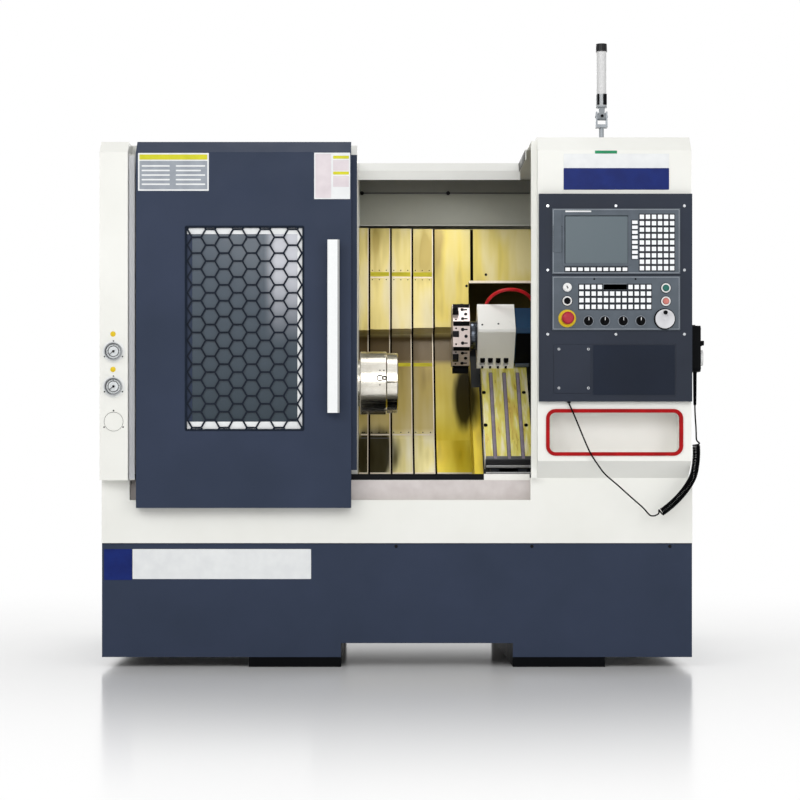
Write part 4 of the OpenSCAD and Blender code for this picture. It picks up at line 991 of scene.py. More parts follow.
def fit(piece: Piece, finish: Finish, body: str = "root") -> None:
    """Dresses a piece, lets it ride on a body and reports it.

    Args:
        piece: piece to fit.
        finish: finish of the piece.
        body: body that it rides on.
    """
    piece.data.materials.clear()
    piece.data.materials.append(finish.material())
    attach(piece, body)
    LOG.info("%s: %s on %s", piece.name, finish.name, body)


def fit_blocks(rows: Sequence[tuple[str, Point, Point, float, Finish]], body: str = "root",
               slanted: bool = False) -> None:
    """Models and dresses plain blocks.

    Args:
        rows: name, lowest and highest corner, width of the edges and finish of each block.
        body: body that they ride on.
        slanted: whether the corners are given along the slope.
    """
    for name, low, high, edge, finish in rows:
        fit(block(name, low, high, edge, slanted), finish, body)


@dataclass
class Skirt:
    """Base skirt: button screws under the apron and the two bare rating plates."""

    screw_x: Numbers = (972.0, 1421.0, 1877.0)
    screw_z: float = 399.0
    square: Area = (7.0, 99.0, 288.0, 390.0)
    strip: Area = (101.0, 691.0, 291.0, 390.0)
    thick: float = 1.0
    corner: float = 2.0

    def build(self) -> None:
        """Models and dresses the fittings of the skirt."""
        places = [at(x, SKIRT_Y, self.screw_z, Facing.FRONT) for x in self.screw_x]
        fit(spread("skirt_screws", round_head(5.5, 3.5), places), BLACK_STEEL)
        fit(panel("skirt_square_plate", self.square, SKIRT_Y, self.thick, self.corner), NAVY)
        fit(panel("skirt_strip_plate", self.strip, SKIRT_Y, self.thick, self.corner), LABEL)


@dataclass
class LeftColumn:
    """Left column: dials and needles of the gauges, flange screws, blank place and round stickers."""

    x: float = 46.0
    gauge_z: Numbers = (1040.0, 925.0)
    dial_y: float = COLUMN_Y - 6.0
    dial_thick: float = 1.0
    dial: Pairs = ((25.6, 0.0), (25.6, 0.6), (25.0, 1.0))
    ring: Pairs = ((25.4, 0.0), (25.4, 1.2), (24.2, 0.9), (23.8, 0.0), (25.4, 0.0))
    scale: Pairs = ((18.2, 0.0), (18.2, 0.3), (16.2, 0.3), (16.2, 0.0), (18.2, 0.0))
    hub: Pairs = ((4.0, 0.0), (4.0, 3.0), (3.0, 4.0), (0.5, 4.4))
    ticks: int = 11
    tick_r: float = 19.0
    sweep: float = 270.0
    needle_turn: float = 128.0
    flange_r: float = 34.0
    flange_thick: float = 1.6
    blank_z: float = 810.0
    blank: Pairs = ((31.4, 0.0), (31.4, 0.4), (31.0, 0.6), (30.6, 0.4), (30.6, 0.0), (31.4, 0.0))
    plug_r: float = 36.0
    lip: tuple[Point, Point] = ((89.6, -16.8, 622.0), (109.8, -16.0, 1688.0))
    sticker_x: float = 44.0
    sticker_z: Numbers = (1097.0, 981.0)
    sticker: Pairs = ((9.0, 0.0), (9.0, 0.3), (8.7, 0.5))

    def round_places(self, z: float, radius: float, y: float) -> list[Matrix]:
        """Three places round a middle at the given height."""
        angles = [math.radians(a) for a in (90.0, 210.0, 330.0)]
        return [at(self.x + radius * math.cos(a), y, z + radius * math.sin(a), Facing.FRONT) for a in angles]

    def build(self) -> None:
        """Models and dresses the fittings of the column."""
        front = self.dial_y - self.dial_thick
        screws = []
        for k, z in enumerate(self.gauge_z, 1):
            fit(turned(f"gauge_dial_{k}", bench(self.x, self.dial_y, z), Facing.FRONT, self.dial, 48), LABEL)
            middle = bench(self.x, front, z)
            ring = turned("ring", middle, Facing.FRONT, self.ring, 48, True)
            scale = turned("scale", middle, Facing.FRONT, self.scale, 40, True)
            fit(gather(f"gauge_marks_{k}", [ring, scale, self.marks(z, front)]), BLACK)
            fit(self.needle(k, z, front), BLACK)
            screws += self.round_places(z, self.flange_r, COLUMN_Y - self.flange_thick)
        fit(spread("gauge_flange_screws", socket_screw(2.4, 2.4, 14), screws), BLACK_STEEL)
        middle = bench(self.x, COLUMN_Y, self.blank_z)
        blank = turned("blank_ring", middle, Facing.FRONT, self.blank, 64, True)
        plugs = spread("plugs", round_head(2.6, 1.0), self.round_places(self.blank_z, self.plug_r, COLUMN_Y))
        fit(gather("blank_place_marks", [blank, plugs]), BLACK)
        # Whiter liner on the lip beside the door: painted light on a recess in shade.
        fit(block("column_lip_lit_liner", *self.lip, 0.2), LIP_WHITE)
        places = [at(self.sticker_x, COLUMN_Y, z, Facing.FRONT) for z in self.sticker_z]
        fit(spread("gauge_stickers", origin_turned("sticker", self.sticker, 28), places), YELLOW)

    def needle(self, k: int, z: float, y: float) -> Piece:
        """Needle of one gauge on its hub, turned to its reading.

        Args:
            k: number of the gauge.
            z: height of its middle.
            y: depth of the dial face.

        Returns:
            The needle.
        """
        hand = origin_block("hand", (-0.9, -6.0, 2.2), (0.9, 18.0, 3.2), 0.2)
        needle = gather("needle", [hand, origin_turned("hub", self.hub, 20)])
        place = at(self.x, y, z, Facing.FRONT) @ spin("Z", self.needle_turn)
        return spread(f"gauge_needle_{k}", needle, [place])

    def marks(self, z: float, y: float) -> Piece:
        """Tick marks round one dial.

        Args:
            z: height of the middle of the gauge.
            y: depth of the dial face.

        Returns:
            The joined marks.
        """
        tick = origin_block("tick", (-0.5, -2.0, -0.1), (0.5, 2.0, 0.35), 0.1)
        turns = [self.sweep / 2.0 - self.sweep * i / (self.ticks - 1) for i in range(self.ticks)]
        reach = Matrix.Translation((0.0, self.tick_r * MM, 0.0))
        middle = at(self.x, y, z, Facing.FRONT)
        return spread("marks", tick, [middle @ spin("Z", turn) @ reach for turn in turns])


@dataclass
class Door:
    """Sliding door: bare information plates, and the strips and the seal of the window.

    The layers of a plate are given by how far their backs stand off the door and their thickness.
    """

    window: Area = (283.0, 667.0, 783.0, 1448.0)
    left_plate: Area = (126.0, 358.0, 1566.0, 1690.0)
    right_plate: Area = (703.0, 821.0, 1539.0, 1691.0)
    layers: Pairs = ((0.0, 0.8), (0.8, 0.3), (1.1, 0.2))
    line_pitch: float = 15.0
    line_high: float = 5.0
    strip_y: Pair = (-55.4, -54.2)
    seal_y: float = COLUMN_Y + 2.6

    def printed(self, name: str, area: Area, layer: int, finish: Finish) -> None:
        """One flat rectangle on the front of the door.

        Args:
            name: name of the piece.
            area: its edges in X and Z.
            layer: 0 for a plate, 1 for a field on it, 2 for a line on a field.
            finish: finish of the piece.
        """
        off, thick = self.layers[layer]
        fit(panel(name, area, COLUMN_Y - off, thick), finish, "door")

    def build(self) -> None:
        """Models and dresses the fittings of the door."""
        x0, x1, z0, z1 = self.left_plate
        self.printed("door_plate_left", self.left_plate, 0, LABEL)
        self.printed("door_plate_left_band", (x0 + 5.0, x1 - 5.0, z1 - 22.0, z1 - 5.0), 1, LABEL_LEMON)
        self.printed("door_plate_left_field", (x0 + 5.0, x1 - 5.0, z0 + 5.0, z1 - 26.0), 1, LABEL_GREY)
        for k in range(5):
            z = z1 - 40.0 - self.line_pitch * k
            spans = ((x0 + 12.0, x0 + 104.0), (x0 + 124.0, x1 - 12.0 - 14.0 * (k % 2)))
            for side, (a, b) in enumerate(spans, 1):
                self.printed(f"door_plate_left_line_{k + 1}_{side}", (a, b, z - self.line_high, z), 2, LABEL)
        x0, x1, z0, z1 = self.right_plate
        self.printed("door_plate_right", self.right_plate, 0, LABEL)
        self.printed("door_plate_right_field", (x0 + 4.0, x0 + 56.0, z0 + 4.0, z1 - 4.0), 1, LABEL_PINK)
        left, right = x0 + 62.0, x1 - 4.0
        for k, z in enumerate((z1 - 20.0, z1 - 72.0), 1):
            self.printed(f"door_plate_right_band_{k}", (left, right, z, z + 10.0), 1, LABEL_LEMON)
            self.printed(f"door_plate_right_note_{k}", (left, right, z - 40.0, z - 4.0), 1, LABEL_PINK)
        self.window_frame()

    def window_frame(self) -> None:
        """White strips behind the honeycomb on three sides, a slate one at the left as painted shade, and the
        black seal.
        """
        x0, x1, z0, z1 = self.window
        front, back = self.strip_y
        edges = {"right": (x1 - 19.0, x1 + 5.0, z0 - 5.0, z1 + 5.0),
                 "top": (x0 - 5.0, x1 - 19.0, z1 - 23.0, z1 + 5.0),
                 "bottom": (x0 - 5.0, x1 - 19.0, z0 - 5.0, z0 + 27.0),
                 "window_left_shade_strip": (x0 - 5.0, x0 + 20.0, z0 + 27.0, z1 - 23.0)}
        *white, slate = [block(name, (a, front, c), (b, back, d)) for name, (a, b, c, d) in edges.items()]
        fit(gather("window_retaining_strips", white), LABEL, "door")
        # Slate strip at the left of the window: painted shade on that side.
        fit(slate, SLATE, "door")
        around = (x0 - 4.0, x1 + 4.0, z0 - 4.0, z1 + 4.0)
        fit(panel("window_seal", around, self.seal_y, 3.4, 6.0, 7.0), WINDOW_SEAL, "door")


@dataclass
class Hood:
    """Hood over the work area: bead and bolts; strip and liners inside, shroud behind and sill liner, in
    painted shade.
    """

    wall_y: float = 895.0
    x0: float = 846.0
    x1: float = 1480.0
    bolt_x: Numbers = (853.0, 1174.0)
    bolt_z: float = 1678.0

    def build(self) -> None:
        """Models and dresses the fittings of the hood and the liner of the sill."""
        x0, x1, y = self.x0, self.x1, self.wall_y
        fit_blocks((
            # Strip and liners: painted shade under and inside the hood.
            ("hood_shade_strip", (x0, y - 4.0, 1680.0), (x1, y, 1729.0), 0.5, HOOD_GREY),
            ("hood_side_shade_liner", (1408.6, 153.0, 1699.0), (1410.0, 489.0, 1731.0), 0.3, HOOD_DARK),
            ("back_wall_shade_liner", (x0, y - 1.2, 1560.0), (x1, y, 1676.5), 0.3, HOOD_INSIDE),
            ("hood_seal_bead", (x0, y - 6.0, 1676.0), (x1, y, 1681.0), 1.5, BLACK_RUBBER),
            # Olive shroud: painted shade behind the turret.
            ("rear_shade_shroud", (1240.0, 1285.0, 1100.0), (1700.0, 1297.0, 1560.0), 2.0, OLIVE),
            # Grey sill liner: painted shade of the recessed sill.
            ("sill_liner", (92.0, 29.2, 552.5), (1416.0, 30.0, 617.5), 0.2, SILL)))
        places = [at(x, y - 5.5, self.bolt_z, Facing.FRONT) for x in self.bolt_x]
        fit(spread("hood_bolts", socket_screw(7.0, 7.0), places), BLACK_STEEL)


@dataclass
class OuterWalls:
    """Rear and side walls: panel screws, vent filters in their frames, and a flange behind the cabinet."""

    rear_y: float = 1300.0
    left_x: float = 0.0
    right_x: float = 1950.0
    flange: tuple[Point, Point] = ((1925.0, 150.2, 618.0), (1946.8, 154.0, 1729.8))
    vent_x: Numbers = (450.0, 1500.0)
    vent_z: float = 1066.0
    frame_size: tuple[float, float, float] = (356.0, 388.0, 2.0)
    frame_corner: float = 12.0
    frame_border: float = 14.0
    filter_half: Pair = (170.0, 181.0)
    filter_y: Pair = (1290.0, 1296.8)
    vent_screw_half: Pair = (171.0, 187.0)
    rows_z: Numbers = (432.0, 1070.0, 1708.0)
    columns_x: Numbers = (24.0, 660.0, 1290.0, 1926.0)
    columns_y: Numbers = (174.0, 540.0, 906.0, 1276.0)

    def build(self) -> None:
        """Models and dresses the fittings of the walls."""
        fit(block("cabinet_side_flange", *self.flange, 0.4), GUARD)
        frames, screws, filters = [], [], []
        half_x, half_z = self.filter_half
        front, back = self.filter_y
        aside, above = self.vent_screw_half
        for x in self.vent_x:
            middle = bench(x, self.rear_y, self.vent_z)
            frames.append(plate("vent_frame", middle, Facing.BACK, *self.frame_size, self.frame_corner,
                                self.frame_border))
            filters.append(block("vent_filter", (x - half_x, front, self.vent_z - half_z),
                                 (x + half_x, back, self.vent_z + half_z), 1.0))
            screws += [at(x + side * aside, self.rear_y + 1.9, self.vent_z + rise * above, Facing.BACK)
                       for side in (-1.0, 0.0, 1.0) for rise in (-1.0, 1.0)]
        fit(gather("vent_frames", frames), IVORY)
        fit(gather("vent_filters", filters), BLACK)
        fit(spread("vent_screws", round_head(3.6, 2.2), screws), BLACK_STEEL)
        low, middle, high = self.rows_z
        ends = [(k, z) for k in range(4) for z in (low, high)] + [(0, middle), (3, middle)]
        rear = [at(self.columns_x[k], self.rear_y, z, Facing.BACK) for k, z in ends]
        sides = [at(x, self.columns_y[k], z, facing)
                 for x, facing in ((self.right_x, Facing.RIGHT), (self.left_x, Facing.LEFT)) for k, z in ends]
        fit(spread("wall_panel_screws", round_head(7.0, 3.4), rear + sides), BLACK_STEEL)


@dataclass
class Cabinet:
    """Control cabinet: the two bare name plates and the green strip over them."""

    x0: float = 1518.5
    x1: float = 1863.0
    white_z: Pair = (1638.0, 1685.0)
    blue_z: Pair = (1567.25, 1637.75)
    green: Area = (1621.0, 1693.0, 1685.55, 1695.05)
    thick: float = 1.5

    def build(self) -> None:
        """Models and dresses the plates on the cabinet."""
        for name, area, corner, finish in (
                ("name_plate_white", (self.x0, self.x1, *self.white_z), 2.0, LABEL),
                ("name_plate_blue", (self.x0, self.x1, *self.blue_z), 2.0, NAVY),
                ("name_plate_green", self.green, 1.0, GREEN_FILM)):
            fit(panel(name, area, CABINET_Y, self.thick, corner), finish)


@dataclass
class ControlDesk:
    """Control plate: screws, bezels, rings of the buttons, pointers and the crank of the handwheel."""

    screw_x: Numbers = (1465.0, 1687.0, 1910.0)
    screw_z: Numbers = (1512.0, 1303.0, 1094.0)
    cover_screw_x: Numbers = (1501.5, 1597.5)
    cover_screw_z: Numbers = (1045.7, 918.7)
    black_screw_x: Numbers = (1616.0, 1750.6)
    black_screw_z: float = 1273.4
    recess_y: float = PLATE_Y + 0.8
    line_y: float = UNIT_Y - 0.1
    unit_x: float = 1479.0
    oper_z: float = 1107.0
    button_at: Pairs = ((49.0, 95.0), (370.0, 137.0), (370.0, 94.0))
    gasket: Pairs = ((17.2, 0.0), (17.2, 1.0), (16.6, 1.4), (15.0, 1.4), (15.0, 0.0), (17.2, 0.0))
    ring: Pairs = (
        (15.4, 0.0), (15.4, 3.6), (14.4, 4.4), (11.2, 4.4), (10.7, 3.6), (10.7, 0.0), (15.4, 0.0))
    knob_x: Numbers = (118.0, 171.0, 231.0, 288.0)
    knob_z: float = 30.0
    knob_ring: Pairs = ((17.2, 0.0), (17.2, 0.9), (16.8, 1.3), (15.6, 1.3), (15.2, 0.0), (17.2, 0.0))
    wheel_x: float = 366.0
    wheel_z: float = 36.0
    dial: Pairs = ((35.0, 0.0), (35.0, 1.4), (34.0, 2.2), (30.0, 2.2), (29.0, 0.2))
    crank_z: float = 56.0
    crank_off: float = 14.5
    crank: Pairs = ((4.0, 0.0), (6.2, 3.0), (7.0, 10.0), (6.2, 16.0), (4.2, 18.3), (1.0, 18.8))
    key_turn: float = 40.0

    def build(self) -> None:
        """Models and dresses the fittings of the control plate."""
        places = [at(x, PLATE_Y, z, Facing.FRONT) for x in self.screw_x for z in self.screw_z
                  if (x, z) != (self.screw_x[1], self.screw_z[1])]
        fit(spread("plate_screws", socket_screw(4.8, 3.0), places), CHROME)
        places = [at(x, self.recess_y, z, Facing.FRONT)
                  for x in self.cover_screw_x for z in self.cover_screw_z]
        fit(spread("cover_plate_screws", socket_screw(4.5, 3.0), places), CHROME)
        self.fields()
        self.rings()
        self.pointers()

    def fields(self) -> None:
        """Flat fields, labels, painted highlight round both units, painted shade in grooves and recess, two
        black screws.
        """
        deep, line = self.recess_y, self.line_y
        for name, area, y, thick, corner, border, finish in (
                ("small_cover_plate", (1485.0, 1605.0, 902.0, 1060.0), deep, 2.0, 3.0, 0.0, PLATE_BLACK),
                # Darker field: painted shade of the recess.
                ("lower_recess_field", (1613.0, 1879.0, 896.5, 1058.5), deep, 0.5, 3.0, 0.0, PLATE_SHADE),
                ("keypad_blank", (1644.0, 1722.0, 1239.0, 1259.0), UNIT_Y - 0.6, 0.6, 1.0, 0.0, KEY_GREY),
                ("display_label_strip", (1522.0, 1606.0, 1489.75, 1496.25), UNIT_Y, 0.5, 1.0, 0.0, LABEL),
                # Grey borders: painted highlight on the bevelled edges of both units.
                ("display_edge_highlight", (1482.0, 1893.0, 1293.0, 1500.0), line, 0.4, 3.0, 1.6, LABEL_GREY),
                ("operator_edge_highlight", (1482.0, 1893.0, 1110.0, 1280.0), line, 0.4, 3.0, 1.6, LABEL_GREY)):
            fit(panel(name, area, y, thick, corner, border), finish)
        # Dark grooves round the screen and the flap: painted shade.
        frame = panel("frame", (1519.5, 1727.5, 1322.0, 1480.0), line, 0.6, 4.0, 2.4)
        flap = panel("flap", (1481.5, 1512.5, 1360.5, 1446.5), line, 0.4, 4.0, 1.2)
        fit(gather("display_grooves", [frame, flap]), RECESS)
        places = [at(x, line, self.black_screw_z, Facing.FRONT) for x in self.black_screw_x]
        fit(spread("operator_screws", round_head(3.2, 1.2), places), BLACK)

    def rings(self) -> None:
        """White rings on black gaskets round the push buttons, and the dial of the handwheel."""
        places = [at(self.unit_x + x, UNIT_Y, self.oper_z + z, Facing.FRONT) for x, z in self.button_at]
        fit(spread("button_gaskets", origin_turned("gasket", self.gasket, 36, True), places), BLACK)
        fit(spread("button_rings", origin_turned("ring", self.ring, 36, True), places), WHITE)
        middle = bench(self.unit_x + self.wheel_x, UNIT_Y, self.oper_z + self.wheel_z)
        fit(turned("handwheel_dial", middle, Facing.FRONT, self.dial, 56), BLACK)

    def pointers(self) -> None:
        """Rings and pointers of the override knobs, slot of the key switch and crank of the handwheel."""
        z = self.oper_z + self.knob_z
        knobs = [self.unit_x + x for x in self.knob_x]
        ring = origin_turned("ring", self.knob_ring, 36, True)
        fit(spread("knob_rings", ring, [at(x, UNIT_Y, z, Facing.FRONT) for x in knobs]), LABEL_GREY)
        for k, x in enumerate(knobs, 1):
            low, high = (x - 1.0, UNIT_Y - 17.5, z + 1.0), (x + 1.0, UNIT_Y - 16.8, z + 11.5)
            fit(block(f"knob_pointer_{k}", low, high, 0.15), WHITE, f"knob_{k}")
        low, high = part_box("key_switch")
        x, z = ((low[k] + high[k]) / 2.0 / MM + MIDDLE[k] for k in (0, 2))
        slot = origin_block("slot", (-1.0, -5.0, -0.3), (1.0, 5.0, 0.4), 0.2)
        place = at(x, low[1] / MM + MIDDLE.y, z, Facing.FRONT) @ spin("Z", self.key_turn)
        fit(spread("key_slot", slot, [place]), BLACK, "key_lock")
        middle = bench(self.unit_x + self.wheel_x, UNIT_Y - self.crank_off, self.oper_z + self.crank_z)
        fit(turned("handwheel_crank", middle, Facing.FRONT, self.crank, 28), BLACK, "wheel")


@dataclass
class Pendant:
    """Hand pendant with its curly cord from the gland under the control plate."""

    wire_r: float = 2.5
    coil_r: float = 10.5
    turns: int = 50
    coil_steps: int = 1400
    ease_mm: float = 30.0
    lead_a: tuple[Point, ...] = (
        (1535, -90, 869), (1543, -92, 851), (1556, -93, 821), (1583, -95, 755), (1605, -96, 706),
        (1634, -92, 662), (1656, -90, 635), (1697, -88, 600), (1737, -86, 564), (1777, -84, 529),
        (1793, -83, 511), (1803, -82.5, 502.5), (1816, -82.5, 502))
    coil: tuple[Point, ...] = (
        (1816, -72, 502), (1845, -71, 517), (1886, -69, 551), (1920, -67, 590), (1942, -63, 626),
        (1951, -60, 657), (1956, -56, 698), (1956, -52, 734), (1955, -49, 760))
    lead_b: tuple[Point, ...] = (
        (1955, -59.5, 760), (1954.5, -57, 790), (1953, -49.5, 830), (1952.5, -46, 870), (1953, -44, 973))
    boot_at: Point = (1952.5, -45.5, 974.0)
    boot: Pairs = ((7.0, 0.0), (7.0, 4.0), (6.2, 6.0), (5.6, 70.0), (5.0, 104.0), (4.2, 110.0))
    side_x: float = 1967.0
    screw_y: Numbers = (-72.0, -16.0)
    screw_z: Numbers = (985.0, 1113.0)
    rim_at: Pair = (-44.0, 1019.0)
    rim: Pairs = ((28.5, 0.0), (28.5, 1.6), (27.6, 2.4), (26.6, 2.4), (26.4, 0.0), (28.5, 0.0))

    @staticmethod
    def smooth_run(points: Sequence[Point], cuts: int) -> list[Vector]:
        """Catmull-Rom run through the route points.

        Args:
            points: route in bench millimetres.
            cuts: number of steps between two points.

        Returns:
            The denser run.
        """
        p = [Vector(q) for q in points]
        run = []
        for i in range(len(p) - 1):
            a, b, c, d = p[max(i - 1, 0)], p[i], p[i + 1], p[min(i + 2, len(p) - 1)]
            for k in range(cuts):
                t = k / cuts
                run.append(0.5 * (2 * b + t * (c - a) + t * t * (2 * a - 5 * b + 4 * c - d)
                                  + t ** 3 * (3 * b - a - 3 * c + d)))
        return run + [p[-1]]

    def curl(self) -> list[Vector]:
        """Winds the coil round its run; the pitch opens out at both ends so that no bend is tight.

        Returns:
            Points of the wound cord in bench millimetres.
        """
        line = self.smooth_run(self.coil, 24)
        reach = [0.0]
        for a, b in zip(line, line[1:]):
            reach.append(reach[-1] + (b - a).length)
        total = reach[-1]
        count = self.coil_steps
        shares = [min(1.0, min(i, count - i) * total / count / self.ease_mm) for i in range(count + 1)]
        rates = [q ** 4 for q in shares]
        scale = math.tau * self.turns / sum(rates)
        side = Vector((0.0, 1.0, 0.0))
        wound = []
        angle = -math.pi / 2.0
        j = 0
        for i in range(count + 1):
            s = total * i / count
            while j < len(line) - 2 and reach[j + 1] < s:
                j += 1
            step = line[j + 1] - line[j]
            middle = line[j] + step * ((s - reach[j]) / max(step.length, 1e-9))
            across = step.cross(side).normalized()
            over = across.cross(step).normalized()
            wound.append(middle + self.coil_r * (math.cos(angle) * across + math.sin(angle) * over))
            angle += rates[i] * scale
        return wound

    def build(self) -> None:
        """Models the cord and dresses the pendant."""
        run = self.smooth_run(self.lead_a, 4)[:-1] + self.curl() + self.smooth_run(self.lead_b, 5)[1:]
        places = [bench(*p) for p in run]
        curve = bpy.data.curves.new("pendant_cord", "CURVE")
        curve.dimensions = "3D"
        curve.bevel_depth = self.wire_r * MM
        curve.bevel_resolution = 2
        curve.use_fill_caps = True
        spline = curve.splines.new("POLY")
        spline.points.add(len(places) - 1)
        for point, place in zip(spline.points, places):
            point.co = (*place, 1.0)
        spline.use_smooth = True
        piece = bpy.data.objects.new("pendant_cord", curve)
        bpy.context.scene.collection.objects.link(piece)
        fit(piece, CORD)
        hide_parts("cord_leads", "cord_coil")
        fit(turned("pendant_cord_boot", bench(*self.boot_at), Facing.DOWN, self.boot, 24), CORD)
        places = [at(self.side_x, y, z, Facing.RIGHT) for y in self.screw_y for z in self.screw_z]
        fit(spread("pendant_screws", socket_screw(2.6, 1.5, 14), places), BLACK_STEEL)
        middle = bench(self.side_x, *self.rim_at)
        fit(turned("pendant_wheel_rim", middle, Facing.RIGHT, self.rim, 48, True), CHROME)


@dataclass
class SignalTower:
    """Signal tower: the black prongs of its collar and the pin of its fold."""

    x: float = 1657.0
    y: float = 60.0
    hinge_z: float = 1828.0
    prong_x: Pairs = ((1641.0, 1648.0), (1661.0, 1673.0))
    prong_z: Pair = (1866.0, 1902.0)
    pin: Pairs = ((5.0, 0.0), (5.0, 2.4), (4.2, 3.2), (2.2, 3.2), (2.0, 1.6), (0.4, 1.6))

    def build(self) -> None:
        """Models and dresses the fittings of the tower."""
        low, high = self.prong_z
        prongs = [block("prong", (x0, self.y - 19.6, low), (x1, self.y - 14.0, high), 1.0)
                  for x0, x1 in self.prong_x]
        fit(gather("tower_prongs", prongs), BLACK, "tower")
        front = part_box("signal_base")[0][1] / MM + MIDDLE.y
        middle = bench(self.x, front + 0.5, self.hinge_z)
        fit(turned("tower_hinge_screw", middle, Facing.FRONT, self.pin, 24), BLACK)


@dataclass
class WorkArea:
    """Work area: edges and wipers of the covers, chuck key, clamps of the disc, fittings of the turret."""

    path: Pairs = ((900.0, 1550.0), (850.0, 1166.0), (890.0, 1150.0), (680.0, 768.0), (540.0, 634.0))
    cover_bodies: tuple[str, ...] = ("root", "cover_2", "cover_3", "cover_4")
    cover_start: float = 843.0
    cover_ends: Numbers = (878.0, 958.0, 1038.0, 1118.0)
    cover_step: float = 5.0
    relief: float = 0.2
    glint_x: float = 987.0
    disc_x: float = 1177.0
    disc_mid: Pair = (575.7, 1128.7)
    disc_flat: float = 109.0
    hub_cap: Pairs = ((33.0, 0.0), (33.0, -5.0), (30.0, -7.0), (12.0, -7.0), (10.0, -9.0), (1.0, -9.4))
    sleeve_x: float = 1238.0
    sleeve: Pairs = (
        (50.1, 0.0), (50.1, 27.5), (51.5, 27.5), (52.0, 26.5), (52.0, 1.0), (51.5, 0.0), (50.1, 0.0))
    bolt_x: Numbers = (1286.0, 1314.0, 1342.0, 1370.0)
    ferrule: Pairs = ((9.4, 0.0), (9.4, 5.0), (8.4, 6.0), (8.4, 13.0), (7.0, 14.0))
    ferrule_x: Numbers = (1299.0, 1471.0)
    table_off: float = -90.5
    slot_x: Numbers = (1315.0, 1363.0, 1411.0)
    chuck_r: float = 110.0
    key_place: Pair = (919.0, 967.0)
    key_deep: float = 3.0
    key_rim: Pairs = (
        (11.5, 0.0), (11.5, 3.4), (10.8, 4.0), (8.0, 4.0), (7.4, 3.2), (7.4, 0.0), (11.5, 0.0))
    key_plug: Pairs = ((8.2, 0.0), (8.2, 3.4), (7.4, 4.0), (3.2, 4.0), (3.0, 2.6), (0.5, 2.6))
    key_screws: Pairs = ((0.0, 26.0), (14.0, 26.0), (0.0, -24.0), (0.0, 0.0))

    def outline(self, back: float) -> list[Pair]:
        """Moves the outline of the covers back, square to its leaves.

        Args:
            back: distance in millimetres.

        Returns:
            Depth and height of each fold, from the top down.
        """
        ways = [Vector((z0 - z1, y1 - y0)).normalized()
                for (y0, z0), (y1, z1) in zip(self.path, self.path[1:])]
        moved = []
        for i, (y, z) in enumerate(self.path):
            a, b = ways[max(i - 1, 0)], ways[min(i, len(ways) - 1)]
            off = (a + b) * back / (1.0 + a.dot(b))
            moved.append((y + off.x, z + off.y))
        return moved

    def on_leaf(self, leaf: int, z: float, back: float) -> Pair:
        """Depth and height of a point on one leaf of a cover that is moved back."""
        (y0, z0), (y1, z1) = self.outline(back)[leaf:leaf + 2]
        return (y0 + (y1 - y0) * (z - z0) / (z1 - z0), z)

    def off_leaf(self, leaf: int, x: float, z: float, back: float) -> Matrix:
        """Stands a head square on one leaf of a cover.

        Args:
            leaf: number of the leaf, from the top.
            x: place of the head along the machine.
            z: height of the head.
            back: how far the cover is moved back.

        Returns:
            Frame of the head.
        """
        (y0, z0), (y1, z1) = self.path[leaf:leaf + 2]
        y, _ = self.on_leaf(leaf, z, back)
        return Matrix.Translation(bench(x, y, z)) @ Matrix.Rotation(math.atan2(z0 - z1, y0 - y1), 4, "X")

    def build(self) -> None:
        """Models and dresses the fittings of the work area."""
        self.covers()
        self.saddle_front()
        self.chuck_key()
        self.disc()
        self.turret()
        self.table()

    def on_chuck(self, x: float, z: float) -> Matrix:
        """Frame of a place on the front of the chuck, a little deep in it."""
        y = SPINDLE_Y - math.sqrt(self.chuck_r ** 2 - (z - SPINDLE_Z) ** 2) + self.key_deep
        return at(x, y, z, Facing.FRONT)

    def chuck_key(self) -> None:
        """Rim of the key socket, its plug and the screws round it in the side of the chuck."""
        x, z = self.key_place
        rim = spread("rims", origin_turned("rim", self.key_rim, 36, True), [self.on_chuck(x, z)])
        plug = spread("plugs", origin_turned("plug", self.key_plug, 28), [self.on_chuck(x + 16.0, z)])
        places = [self.on_chuck(x + a, z + b) for a, b in self.key_screws]
        screws = spread("screws", round_head(3.2, 4.2), places)
        fit(gather("chuck_key_socket", [rim, plug, screws]), BLACK, "spindle_body")

    def strip(self, name: str, leaf: int, span: Pair, high: float, low: float, back: float,
              finish: Finish, body: str) -> None:
        """Lays a thin strip on one leaf of a cover, between two heights.

        Args:
            name: name of the strip.
            leaf: number of the leaf, from the top.
            span: its left and right end.
            high: its upper edge.
            low: its lower edge.
            back: how far the cover is moved back.
            finish: finish of the strip.
            body: body that it rides on.
        """
        path = [self.on_leaf(leaf, high, back), self.on_leaf(leaf, low, back)]
        fit(ribbon(name, path, *span, self.relief), finish, body)

    def covers(self) -> None:
        """Right edge, foot and fold lines in painted highlight, lip partly painted shadow, rivets, yellow
        wipers.
        """
        start = self.cover_start
        for k, (body, end) in enumerate(zip(self.cover_bodies, self.cover_ends)):
            back = self.cover_step * k
            # Bright edge: painted highlight where the cover's edge catches the light.
            edge = ribbon(f"cover_edge_{k + 1}", self.outline(back), end - 3.4, end - 0.3, 1.0)
            fit(edge, BRIGHT_EDGE, body)
            # Dark wiper lip beside the edge: partly a painted shadow of the seam.
            fit(ribbon(f"cover_lip_{k + 1}", self.outline(back + 4.4), end, end + 6.6, 5.6), LIP_BROWN, body)
            left, right, middle = start + 7.2, end - 3.8, (start + end) / 2.0
